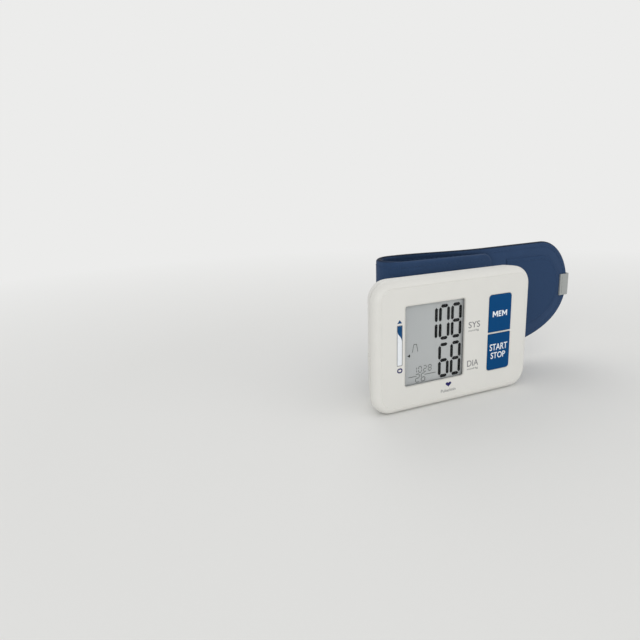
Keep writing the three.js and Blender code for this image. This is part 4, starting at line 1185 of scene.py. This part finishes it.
def cuff_cloth(name):
    """Brushed knit on the outside and a painted shade of darker navy on the wrist side, where the mesh says
    so: ribs along the band times cross rows, nap from noise, and a dark edge tape that is partly painted
    shade along the rim."""
    made = Finish(name, NAVY, Specular_IOR_Level=0.1, Sheen_Weight=0.06, Sheen_Roughness=0.5)
    flat, edge_tape_and_shade = made.node("ShaderNodeAttribute"), made.node("ShaderNodeAttribute")
    flat.attribute_name, edge_tape_and_shade.attribute_name = "flat", "edge_tape_and_shade"
    place = flat.outputs["Vector"]
    ribs = made.wave(math.pi / (10 * KNIT), 0.6, "X", place, 1.0)
    rows = made.wave(math.pi / (8 * KNIT), 0.8, "Y", place, 1.0)
    weave = made.math("MULTIPLY", ribs, rows)
    nap = made.noise(2400.0, 3.0)
    painted_shade = made.node("ShaderNodeSeparateXYZ", Vector=place).outputs["Z"]
    # painted shade on the wrist side, as far as the mesh carries it
    cloth = made.mix(painted_shade, made.drift(70.0, *shades(NAVY, 0.07), 3.0), PAINTED_SHADE_NAVY)
    fibre = made.mix(made.range(weave, 0.0, 0.35), cloth, tint(NAVY, 1.25))
    # dark edge tape along the rim, partly painted shade
    made.wear(Base_Color=made.mix(edge_tape_and_shade.outputs["Fac"], fibre, tint(NAVY, 0.25)),
              Roughness=made.range(nap, 0.82, 0.96))
    return made.bump(made.math("ADD", weave, made.math("MULTIPLY", nap, NAP_SHARE)), 0.7, KNIT_DEPTH)


navy_cloth = cuff_cloth("navy_cloth")
print("cloth:", navy_cloth.name)

# %% [markdown]
# Padding swells between its seams. Blender's cloth solver does that here: the hem is held, a little
# pressure blows the sheets outwards, and the movement of every point is capped, so the band keeps its size.
# The solver is made for cushions, so it works on a copy that is enlarged to that scale. A furrow and a
# bulge could be modelled by hand instead, but they would look alike everywhere.

# %% Cloth pass
CLOTH_SCALE, CLOTH_FRAMES = 8.0, 20
CLOTH_PRESSURE, CLOTH_MASS = 4.0, 0.05


def puff(made, held, cap):
    """Cloth under pressure with some points held: each point moves by what the solver gives, at most by the
    cap."""
    rest = mesh_points(made.data)
    flat, rim = carried(made.data, "flat", "vector", 3), carried(made.data, "rim", "value", 1)
    still = np.flatnonzero(held(flat[:, 0], rim[:, 0], flat[:, 2]))
    copy = new_object("swelling", made.data.copy())
    copy.data.vertices.foreach_set("co", (rest * CLOTH_SCALE).ravel())
    copy.vertex_groups.new(name="held").add(still.tolist(), 1.0, "REPLACE")
    cloth = copy.modifiers.new("cloth", "CLOTH")
    cloth.settings.vertex_group_mass = "held"
    cloth.settings.use_pressure = True
    cloth.settings.uniform_pressure_force = CLOTH_PRESSURE
    cloth.settings.mass = CLOTH_MASS
    cloth.settings.effector_weights.gravity = 0
    cloth.point_cache.frame_end = CLOTH_FRAMES
    for number in range(1, CLOTH_FRAMES + 1):
        scene.frame_set(number)
    swollen = copy.evaluated_get(bpy.context.evaluated_depsgraph_get()).to_mesh()
    move = mesh_points(swollen) / CLOTH_SCALE - rest
    size = np.linalg.norm(move, axis=1)
    limit = np.minimum(1, cap * MM / np.maximum(size, 1e-9))
    made.data.vertices.foreach_set("co", (rest + move * limit[:, None]).ravel())
    made.data.update()
    scene.frame_set(1)
    bpy.data.objects.remove(copy)
    print(f"{made.name}: {len(still)} held, moved by up to {size.max() / MM:.2f} mm, capped at {cap} mm")


# %% [markdown]
# The hem is sewn with a lockstitch in a thread of the cloth's own colour. Each stitch is a small capsule,
# and they all share one template that is set along the line of the hem by its direction there. A dashed
# line in the finish would cost less, but it would not stand out of the cloth.

# %% Stitches
HEM = 2.6
SEWN_INSET = HEM + 0.3
STITCH_PITCH, STITCH_LENGTH, STITCH_RADIUS = 2.6, 1.9, 0.17
STITCH_START, STITCH_REACH = 1.5, 0.5


def spun_thread(name, colour):
    """Twisted thread: fine slanted ridges in colour and bump."""
    made = Finish(name, colour, Roughness=0.8, Specular_IOR_Level=0.2)
    twist = made.wave(900.0, 1.0, "DIAGONAL")
    made.wear(Base_Color=made.ramp(twist, (0.0, tint(colour, 0.85)), (1.0, tint(colour, 1.1))))
    return made.bump(twist, 0.5, 0.00005)


def line_inside(loop, inset):
    """Line at a distance inside an outline: the outline moved along its inward normal, without the points
    that come nearer to the outline again."""
    heading = unit(np.roll(loop, -1, 0) - np.roll(loop, 1, 0))
    line = loop + inset * np.stack([-heading[:, 1], heading[:, 0]], -1)
    return line[edge_distance(line[:, 0], line[:, 1], loop) > inset - 0.05]


def capsule(radius, length, around=6, along=6):
    """Capsule along its first axis: two half balls joined by a tube, as rows of rings from end to end."""
    angle = np.linspace(0, np.pi, along + 1)
    x = -np.cos(angle) * radius + np.where(angle > np.pi / 2, 1, -1) * (length / 2 - radius)
    turn = np.linspace(0, 2 * np.pi, around, endpoint=False)
    ring = np.sin(angle)[:, None] * radius
    x = np.broadcast_to(x[:, None], (along + 1, around))
    return np.stack([x, ring * np.cos(turn), ring * np.sin(turn)], -1)


def set_along(name, places, ahead, up):
    """One capsule at each place, turned so that it points ahead and stands up along the surface's normal:
    its three coordinates are measured along ahead, across and up."""
    ahead = unit(ahead)
    axes = np.stack([ahead, np.cross(up, ahead), up], 1)
    shape = capsule(STITCH_RADIUS, STITCH_LENGTH)
    stitches = Surface()
    for rings in places[:, None, None] + np.einsum("rcj,kjx->krcx", shape, axes):
        stitches.loft(rings)
    return stitches.build(name, 80, weld=1e-3)


def sewn(name, line, off):
    """Stitches at an even pitch along a line on the flat band, on the side that lies off its middle by the
    given amount. A stitch points from the line a little behind it to the line a little ahead."""
    step = np.linalg.norm(np.diff(line, axis=0), axis=1)
    line = line[np.concatenate([[True], step > 1e-6])]
    run = run_along(line)
    at = np.arange(STITCH_START, run[-1] - STITCH_START, STITCH_PITCH)

    def on_band(along, off):
        """Point of the cuff at a length along the line."""
        u, v = (np.interp(along, run, line[:, axis]) for axis in (0, 1))
        return on_cuff(u, v, np.full_like(u, off))

    forward = on_band(at + STITCH_REACH, off) - on_band(at - STITCH_REACH, off)
    up = np.sign(off) * (on_band(at, 1.0) - on_band(at, 0.0))
    return set_along(name, on_band(at, off), forward, up)


thread = spun_thread("navy_thread", tint(NAVY, 1.05))
print("stitches to a decimetre:", round(100 / STITCH_PITCH))

# %% [markdown]
# The band's upper edge rises a little towards the flap. Its rim is round, its hem is sewn down in a slight
# furrow, and the strap's edge has a darker edge tape, whose darkness is partly painted shade along the rim.
# They could be shaped along each piece by hand, but as formulas of the distance from the edge they serve
# the pad and the strap alike.

# %% Edges of the band
SEAM_X = -7.0
NEAR_LOW, FAR_LOW = panel_low[2], wrap_low[2]
FAR_TOP, SWEEP_X = wrap_high[2], 82
RIM, HEM_STEP, FURROW = 1.35, 0.06, 0.09
seam_length = float(length_at(SEAM_X))
TOP_PLACES = [0, BEND_START, BEND_STOP, float(length_at(FLAP_START)), float(length_at(SWEEP_X))]
TOP_HEIGHTS = [64.2, 64.6, 65.7, 66.6, FAR_TOP]


def band_top(length):
    """Upper edge of the band, which rises in straight stretches towards the flap."""
    return np.interp(length, TOP_PLACES, TOP_HEIGHTS)


def band_low(length):
    """Lower edge of the band, which runs straight from one level to another round the bend."""
    return np.interp(length, [BEND_START, BEND_STOP], [NEAR_LOW, FAR_LOW])


def hem_relief(edge):
    """Shape of the padding near its hem: a slight step at the hem's width and a furrow where it is sewn."""
    step = -HEM_STEP * (1 - smooth_step((edge - HEM + 0.2) / 0.4))
    return step - FURROW * np.exp(-((edge - SEWN_INSET) / 0.3) ** 2)


def half_thickness(edge):
    """Half the band's thickness: a quarter circle over the rim, with the hem's relief on it."""
    rim = round_rim(edge, RIM)
    return CUFF_HALF * rim + hem_relief(edge) * rim


def edge_tape_and_shade_share(edge):
    """Share of the dark edge tape, partly painted shade along the rim, which fades within a millimetre of
    the rim.
    """
    return 1 - smooth_step((edge - 0.3) / 0.6)


SEWN_OFF = CUFF_HALF + float(hem_relief(SEWN_INSET)) + 0.03
print("band's upper edge:", np.round(TOP_HEIGHTS, 1).tolist(), "mm")

# %% [markdown]
# The pad is the near wall and the bend in one piece. It holds a stiffening plate and the air bladder, so
# its wrist side is crowned over the bladder, while its other side lies flat behind the casing.

# %% Cuff pad
PAD_CORNER, ROW_STEP, SEAM_GAP = 5.0, 1.6, 0.01
RUN_ON = 20                     # how far an outline runs on past a seam, so that the seam is no edge
CROWN_START, CROWN_RUN = 2, 9
HEM_HELD, SEAM_HELD, PAD_SWELL = HEM + 0.5, 4, 0.35
STITCHED_FROM = 1.5


def cuff_pad():
    """Pad over its flat shape, which has two corners of a quarter circle, and the line of its hem. Its
    wrist side rises to the height of the cuff's inner layer over the bladder, away from the bend and the
    hem by eased ramps. The wrist side carries a painted shade, and the bend a dark rim that is partly
    painted shade."""
    lengths = clustered(0, seam_length - SEAM_GAP, ROW_STEP, last=False)
    corner = PAD_CORNER - np.sqrt(np.maximum(PAD_CORNER ** 2 - np.maximum(PAD_CORNER - lengths, 0) ** 2, 0))
    low, high = band_low(lengths) + corner, band_top(lengths) - corner
    u, v = flat_grid(lengths, low, high, ROW_STEP)
    edge = edge_distance(u, v, outline_of(np.append(lengths, seam_length + RUN_ON), np.append(low, low[-1]),
                                          np.append(high, high[-1])))
    thick = half_thickness(edge)
    over_bladder = (smooth_step((BEND_START - CROWN_START - u) / CROWN_RUN)
                    * smooth_step((edge - HEM) / CROWN_RUN))
    crown = (lining_high[1] - NEAR_Y - CUFF_HALF) * over_bladder
    # painted shade over the wrist side, which faces into the loop
    painted_shade = smooth_step((edge - 0.5) / 0.8)
    # dark edge tape, partly painted shade: none on the near wall, growing over the bend
    edge_tape_and_shade = edge_tape_and_shade_share(edge) * smooth_step((u - BEND_START) / 14)
    made = padded_form("cuff_pad", u, v, edge, thick, thick + crown, on_cuff, cut=-1, painted_shade_share=painted_shade,
                       edge_tape_and_shade=edge_tape_and_shade)
    hem = line_inside(np.roll(outline_of(lengths, low, high), len(lengths), 0), SEWN_INSET)
    return made, hem[hem[:, 0] < lengths[-1] - STITCHED_FROM]


pad, pad_hem = cuff_pad()
puff(pad, lambda u, edge, painted_shade: (painted_shade < 0.5) | (edge < HEM_HELD) | (u > seam_length - SEAM_HELD),
     PAD_SWELL)
settle(pad, None, navy_cloth, "cuff_fabric", "cuff_panel", "cuff_lining", "cuff_bend")
pad_pieces = [pad]
for name, side in (("pad_stitches_outer", 1), ("pad_stitches_inner", -1)):
    pad_pieces.append(settle(sewn(name, pad_hem, side * SEWN_OFF), None, thread, "cuff_fabric"))
for piece in pad_pieces:
    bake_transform(piece)

# %% [markdown]
# The strap is the far wall of the loop and the free flap, which rounds off in one large sweep. Its edge is
# taped, and shows as a thin dark line that is partly painted shade. It is made as the pad is, from its own
# flat shape.

# %% Cuff strap
SWEEP_RUN, SWEEP_ROWS = 42, 60
STRAP_SWELL = 0.3
# upper edge of the painted shade on the strap's wrist side: it drops towards the flap, as the shadow in the
# loop does
SHADE_EDGE_PLACES, SHADE_EDGE_HEIGHTS = (18, 42, 52), (66.4, 64.4, 60)
lower_edge = bezier((FLAP_START, FAR_LOW), (80, 9.5), (FLAP_END, 20), (FLAP_END, FLAP_TIP_Z), 600)
upper_edge = bezier((FLAP_END, FLAP_TIP_Z), (FLAP_END, 55.36), (94.15, FAR_TOP), (SWEEP_X, FAR_TOP),
                    600)[::-1]


def cuff_strap():
    """Strap over its flat shape, whose edges are level and then follow two cubic curves to the flap's tip,
    and the line of its hem. The painted shade on its wrist side ends in two eased ramps."""
    start, stop = seam_length + SEAM_GAP, float(length_at(FLAP_END))
    sweep = closing_rows(stop, SWEEP_RUN, SWEEP_ROWS)
    lengths = np.concatenate([clustered(start, sweep[0], ROW_STEP, first=False, last=False)[:-1], sweep])
    x = on_path(lengths)[:, 0]
    low = np.where(x < FLAP_START, FAR_LOW, np.interp(x, lower_edge[:, 0], lower_edge[:, 1]))
    high = np.where(x < SWEEP_X, band_top(lengths), np.interp(x, upper_edge[:, 0], upper_edge[:, 1]))
    high[-1] = low[-1] = FLAP_TIP_Z
    u, v = flat_grid(lengths, low, high, ROW_STEP)
    edge = edge_distance(u, v, outline_of(np.append(start - RUN_ON, lengths), np.append(low[0], low),
                                          np.append(high[0], high)))
    thick = half_thickness(edge)
    across = on_path(u)[..., 0]
    below = np.interp(across, SHADE_EDGE_PLACES, SHADE_EDGE_HEIGHTS) - v
    # painted shade below a sloping line, fading out towards the flap
    painted_shade = smooth_step(below / 1.6) * smooth_step((50 - across) / 12)
    made = padded_form("cuff_strap", u, v, edge, thick, thick, on_cuff, cut=0, painted_shade_share=painted_shade,
                       edge_tape_and_shade=edge_tape_and_shade_share(edge))
    hem = line_inside(outline_of(lengths, low, high), SEWN_INSET)
    return made, hem[hem[:, 0] > start + STITCHED_FROM]


strap, strap_hem = cuff_strap()
puff(strap, lambda u, edge, painted_shade: (edge < HEM_HELD) | (u < seam_length + SEAM_HELD), STRAP_SWELL)
settle(strap, "cuff_wrap", navy_cloth, "cuff_fabric", "cuff_wrap")
for name, side in (("strap_stitches_outer", 1), ("strap_stitches_inner", -1)):
    settle(sewn(name, strap_hem, side * SEWN_OFF), "cuff_wrap", thread, "cuff_fabric")

# %% [markdown]
# Hook tape is sewn on the flap's inner side, and holds the cuff closed. It is a thin patch that follows the
# flap's outline a little way in. Its hooks are far smaller than a pixel, so they are left to the bump of
# its finish.

# %% Hook tape
HOOK_INSET, HOOK_HEM, HOOK_RIM = 7.5, 2.0, 1.4
HOOK_SWEEP, HOOK_ROWS, HOOK_STEP = 26, 48, 2.0
TAPE_GAP = 0.03
hook_low, hook_high = node_box("hook_patch")


def inset_edge(curve, inset):
    """Edge of the flap moved inwards along its normal."""
    heading = unit(np.gradient(curve, axis=0))
    return curve + inset * np.stack([-heading[:, 1], heading[:, 0]], -1)


def hook_tape():
    """Flat patch with a level back and a front whose rim is a quarter circle, and the line of its hem."""
    below, above = inset_edge(lower_edge, HOOK_INSET), inset_edge(upper_edge, -HOOK_INSET)
    sweep = closing_rows(hook_high[0], HOOK_SWEEP, HOOK_ROWS)
    x = np.concatenate([clustered(hook_low[0], sweep[0], HOOK_STEP, last=False)[:-1], sweep])
    low = np.interp(x, below[:, 0], below[:, 1])
    high = np.where(x < SWEEP_X, FAR_TOP - HOOK_INSET, np.interp(x, above[:, 0], above[:, 1]))
    high[-1] = low[-1] = FLAP_TIP_Z
    u, v = flat_grid(x, low, high, HOOK_STEP)
    edge = edge_distance(u, v, outline_of(x, low, high))
    back, front = FLAP_Y - CUFF_HALF - TAPE_GAP, hook_low[1]
    made = padded_form("hook_tape", u, v, edge, np.full_like(u, back),
                       -(back + (front - back) * round_rim(edge, HOOK_RIM)),
                       lambda u, v, depth: np.stack([u, depth, v], -1))
    hem = line_inside(outline_of(length_at(x), low, high), HOOK_HEM)
    return made, np.concatenate([hem, hem[:1]])


def hook_finish():
    """Hook tape: close dots in colour and bump, by the distance from the nearest of many scattered
    points."""
    made = Finish("hook_cloth", NAVY, Roughness=0.8, Specular_IOR_Level=0.12)
    dots = made.node("ShaderNodeTexVoronoi", Vector=made.coordinates(), Scale=1500.0, Randomness=0.35)
    height = dots.outputs["Distance"]
    made.wear(Base_Color=made.ramp(height, (0.0, tint(NAVY, 1.05)), (0.8, tint(NAVY, 0.85))))
    return made.bump(height, 0.6, 0.0002)


hook_cloth = hook_finish()
tape, tape_hem = hook_tape()
settle(tape, "cuff_wrap", hook_cloth, "hook_fabric", "hook_patch")
settle(sewn("hook_stitches", tape_hem, hook_low[1] - FLAP_Y), "cuff_wrap", thread, "hook_fabric")

# %% [markdown]
# The pull tab is a short grey woven tape that is folded round the flap's end and sewn down with a row of
# stitches on each side. A bent plane with thickness would do, but a strip with rounded sides, carried along
# the fold, keeps its width exact.

# %% Pull tab
TAB_THICK, TAB_HEM, TAB_ROUND, TAB_ROWS = 0.8, 1.4, 0.3, 9
tab_low, tab_high = node_box("pull_tab")


def pull_tab():
    """Rounded section carried along a fold of two straight runs and a half circle: each point of the
    section moves along the fold's normal."""
    half = TAB_THICK / 2
    radius = (tab_high[1] - tab_low[1]) / 2 - half
    middle = (tab_low[1] + tab_high[1]) / 2
    centre = tab_high[0] - half - radius
    turn = np.linspace(-np.pi / 2, np.pi / 2, 17)
    run = np.linspace(tab_low[0], centre, TAB_ROWS + 1)[:-1]
    fold = np.concatenate([np.stack([run, np.full(TAB_ROWS, middle - radius)], -1),
                           np.stack([centre + radius * np.cos(turn), middle + radius * np.sin(turn)], -1),
                           np.stack([run[::-1], np.full(TAB_ROWS, middle + radius)], -1)])
    heading = unit(np.gradient(fold, axis=0))
    normal = np.stack([heading[:, 1], -heading[:, 0]], -1)
    section = round_rect(-half, half, tab_low[2], tab_high[2], TAB_ROUND, steps=4)
    across = fold[:, None] + normal[:, None] * section[None, :, :1]
    rings = np.concatenate([across, np.broadcast_to(section[None, :, 1:], (*across.shape[:2], 1))], -1)
    return Surface().solid(rings).build("grab_tab", 50)


def tab_stitches():
    """A row of stitches across each side of the tab, a little way from its cut end, centred on its
    height."""
    count = int((tab_high[2] - tab_low[2]) / STITCH_PITCH)
    heights = (tab_low[2] + tab_high[2]) / 2 + (np.arange(count) - (count - 1) / 2) * STITCH_PITCH
    level = np.ones(count)
    rows = [np.stack([level * (tab_low[0] + TAB_HEM), level * side, heights], -1)
            for side in (tab_low[1], tab_high[1])]
    up = np.repeat([[0.0, -1.0, 0.0], [0.0, 1.0, 0.0]], count, axis=0)
    return set_along("tab_stitches", np.concatenate(rows), np.broadcast_to([0.0, 0.0, 1.0], up.shape), up)


def tape_finish():
    """Woven tape: ribs one way times picks the other, in colour and bump."""
    grey = srgb(166, 169, 167)
    made = Finish("tab_tape", grey, Roughness=0.8, Specular_IOR_Level=0.3, Sheen_Weight=0.15)
    threads = made.math("MULTIPLY", made.wave(420.0, 0.4, "Z"), made.wave(560.0, 0.4, "DIAGONAL"))
    made.wear(Base_Color=made.ramp(threads, (0.0, tint(grey, 0.84)), (0.6, tint(grey, 1.08))),
              Roughness=made.wander(1500.0, 0.7, 0.9))
    return made.bump(threads, 0.7, 0.00015)


tab_cloth = tape_finish()
settle(pull_tab(), "cuff_wrap", tab_cloth, "tab_fabric", "pull_tab")
settle(tab_stitches(), "cuff_wrap", spun_thread("grey_thread", srgb(150, 153, 151)), "tab_fabric")

# %% [markdown]
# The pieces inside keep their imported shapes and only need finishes: steel screws and contacts, soft
# silicone, a lacquered board, sleeved cells, and the grey ground of the panel. They show when the battery
# door opens, or where the part is used without its covers.

# %% Steel, silicone and board
def bare_steel():
    """Drawn steel: noise that is stretched into streaks along one direction, in roughness and bump."""
    made = Finish("bare_steel", srgb(176, 176, 178), Metallic=1.0)
    streaks = made.node("ShaderNodeMapping", Vector=made.coordinates(), Scale=(40.0, 900.0, 900.0))
    brushed = made.noise(3.0, 3.0, streaks.outputs["Vector"])
    made.wear(Roughness=made.range(brushed, 0.22, 0.42),
              Base_Color=made.drift(300.0, srgb(166, 166, 169), srgb(186, 186, 187)))
    return made.bump(brushed, 0.2, 0.00002)


def soft_silicone():
    """Silicone: a slow drift of grey and a fine grain."""
    made = Finish("soft_silicone", srgb(148, 150, 150), Roughness=0.6)
    made.wear(Base_Color=made.drift(160.0, srgb(140, 142, 142), srgb(156, 158, 158)))
    return made.bump(made.noise(1800.0), 0.2, 0.00002)


def board_lacquer():
    """Green lacquer over copper: a brick pattern, turned onto the board's face, stands for the tracks."""
    made = Finish("board_lacquer", srgb(30, 104, 66), Roughness=0.35)
    face = made.node("ShaderNodeMapping", Vector=made.coordinates(), Rotation=(math.pi / 2, 0, 0))
    tracks = made.node("ShaderNodeTexBrick", Vector=face.outputs["Vector"], Scale=160.0,
                       Color1=srgb(27, 96, 60), Color2=srgb(34, 112, 72), Mortar=srgb(46, 128, 84))
    made.wear(Base_Color=tracks.outputs["Color"], Roughness=made.wander(400.0, 0.28, 0.42))
    return made.bump(tracks.outputs["Fac"], 0.2, 0.00002)


by_slot = {"steel": bare_steel(), "silicone": soft_silicone(), "board": board_lacquer()}
print("finishes:", [made.name for made in by_slot.values()])

# %% [markdown]
# A cell has a printed sleeve and bare ends. Both could be pieces of their own, but the sleeve is thinner
# than a hair, so a ramp along the cell changes from one to the other. The panel's ground is a soft slope of
# grey.

# %% Cells and panel
SLEEVE_START, SLEEVE_BAND, SLEEVE_STOP, SLEEVE_STEP = 0.02, 0.68, 0.955, 0.001


def sleeve(name, plus_end):
    """Cell: a dark sleeve with a pale band towards its plus end, and bare steel at both ends, by place
    along X."""
    low, high = (corner * MM for corner in node_box(name))
    made = Finish(name + "_sleeve", srgb(52, 56, 60), Specular_IOR_Level=0.5)
    along = made.node("ShaderNodeSeparateXYZ", Vector=made.coordinates()).outputs["X"]
    place = made.share(along, low[0], high[0]) if plus_end > 0 else made.share(along, high[0], low[0])
    steel, dark, band = srgb(178, 178, 180), srgb(46, 50, 54), srgb(196, 178, 128)
    metal, paint = (1, 1, 1, 1), (0, 0, 0, 1)
    tones = made.ramp(place, (0.0, steel), (SLEEVE_START, steel), (SLEEVE_START + SLEEVE_STEP, dark),
                      (SLEEVE_BAND, dark), (SLEEVE_BAND + 2 * SLEEVE_STEP, band), (SLEEVE_STOP, band),
                      (SLEEVE_STOP + 2 * SLEEVE_STEP, steel), (1.0, steel))
    bare = made.ramp(place, (SLEEVE_START, metal), (SLEEVE_START + SLEEVE_STEP, paint),
                     (SLEEVE_STOP, paint), (SLEEVE_STOP + 2 * SLEEVE_STEP, metal))
    return made.wear(Base_Color=tones, Metallic=bare, Roughness=made.wander(260.0, 0.25, 0.4))


def panel_ground():
    """Grey ground of the display, a little paler towards its lower right: a slope of place plus some
    noise."""
    made = Finish("panel_ground", srgb(190, 194, 194), Roughness=0.4)
    place = made.node("ShaderNodeSeparateXYZ", Vector=made.coordinates())
    slope = made.math("ADD", place.outputs["X"], made.math("MULTIPLY", place.outputs["Z"], -0.5))
    spots = made.math("MULTIPLY", made.noise(200.0), 0.3)
    mottled = made.math("ADD", made.share(slope, -0.055, 0.0), spots)
    return made.wear(Base_Color=made.ramp(mottled, (0.1, srgb(188, 192, 193)), (1.0, srgb(198, 201, 201))),
                     Roughness=made.wander(500.0, 0.35, 0.45))


by_slot |= {"dark_plastic": dark_plastic, "white_plastic": white_plastic, "lcd_glass": panel_ground(),
            "casing_plastic": ivory, "key_plastic": key_blue, "clear_lens": pane.material,
            "cuff_fabric": navy_cloth, "hook_fabric": hook_cloth, "tab_fabric": tab_cloth}
cells = {"cell_lower": sleeve("cell_lower", -1), "cell_upper": sleeve("cell_upper", 1)}
for row in frame["record"]["subparts"]:
    solid = frame["nodes"][row["node"]]
    solid.data.materials.clear()
    solid.data.materials.append(cells.get(row["node"]) or by_slot[row["material_slot"]])

# %% [markdown]
# The surround is an even pale light. What a ray that looks at it sees is a backdrop of its own tone, so
# that the light on the monitor can stay at a plain level, at which a colour comes out about as it is
# written.

# %% Surround
BACKDROP = srgb(236, 236, 235)
SURROUND_LIGHT = 0.73


def looking(tree):
    """1 for a ray that looks at the backdrop, straight, in a reflection or through clear plastic, and 0 for
    the rest, which light the monitor: the largest of three flags."""
    rays = tree.nodes.new("ShaderNodeLightPath")
    value = rays.outputs["Is Camera Ray"]
    for kind in ("Is Glossy Ray", "Is Transmission Ray"):
        larger = tree.nodes.new("ShaderNodeMath")
        larger.operation = "MAXIMUM"
        tree.links.new(value, larger.inputs[0])
        tree.links.new(rays.outputs[kind], larger.inputs[1])
        value = larger.outputs["Value"]
    return value


surround = bpy.data.worlds.new("surround")
surround.use_nodes = True
scene.world = surround
sky, links = surround.node_tree.nodes, surround.node_tree.links
sky["Background"].inputs["Color"].default_value = (1, 1, 1, 1)
sky["Background"].inputs["Strength"].default_value = SURROUND_LIGHT
seen = sky.new("ShaderNodeBackground")
seen.inputs["Color"].default_value = BACKDROP
choice = sky.new("ShaderNodeMixShader")
links.new(looking(surround.node_tree), choice.inputs["Fac"])
links.new(sky["Background"].outputs["Background"], choice.inputs[1])
links.new(seen.outputs["Background"], choice.inputs[2])
links.new(choice.outputs["Shader"], sky["World Output"].inputs["Surface"])
print("surround:", SURROUND_LIGHT)

# %% [markdown]
# The floor is a pale plane just under the base. It fades into the backdrop with distance, which hides the
# horizon without any light of its own on the monitor, and it keeps the monitor's shadow.

# %% Floor
FLOOR_REACH, FLOOR_DROP = 4.0, 0.0002
FADE_START, FADE_STOP = 0.18, 0.6
floor_mesh = bpy.data.meshes.new("floor")
corners = [(-1, -1, 0), (1, -1, 0), (1, 1, 0), (-1, 1, 0)]
floor_mesh.from_pydata((np.array(corners) * FLOOR_REACH).tolist(), [], [(0, 1, 2, 3)])
floor = new_object("floor", floor_mesh)
floor.location.z = -FLOOR_DROP
ground = Finish("pale_floor", srgb(232, 232, 230), Roughness=0.8, Specular_IOR_Level=0.1)
distance = ground.node("ShaderNodeVectorMath", Vector=ground.coordinates())
distance.operation = "LENGTH"
fade = ground.share(distance.outputs["Value"], FADE_START, FADE_STOP)
glow = ground.node("ShaderNodeEmission", Color=BACKDROP)
mixed = ground.node("ShaderNodeMixShader", Fac=ground.math("MULTIPLY", fade, looking(ground.tree)))
ground.feed(mixed.inputs[1], ground.shader.outputs["BSDF"])
ground.feed(mixed.inputs[2], glow.outputs["Emission"])
ground.feed(ground.tree.nodes["Material Output"].inputs["Surface"], mixed.outputs["Shader"])
floor_mesh.materials.append(ground.material)
print("floor:", 2 * FLOOR_REACH, "m wide")

# %% [markdown]
# Soft studio light: a large lamp in front on the left, a weaker one on the right, and one behind and above
# that draws the upper edges. Sun lamps would give hard shadows, so all three are wide areas.

# %% Lamps
LAMP_AIM = Vector((0.02, 0, 0.035))
LAMPS = {"key_lamp": ((-0.75, -0.9, 0.35), 0.9, 4.2),
         "fill_lamp": ((0.75, -0.9, 0.2), 0.8, 2.2),
         "rear_lamp": ((0.3, 0.9, 0.8), 0.8, 2.0)}


def soft_lamp(name, place, side, power):
    """Square area lamp that faces the middle of the monitor."""
    lamp = new_object(name, bpy.data.lights.new(name, "AREA"))
    lamp.data.size, lamp.data.energy = side, power
    lamp.location = place
    lamp.rotation_euler = (LAMP_AIM - Vector(place)).to_track_quat("-Z", "Y").to_euler()


for name, settings in LAMPS.items():
    soft_lamp(name, *settings)
scene.view_settings.view_transform = "Standard"
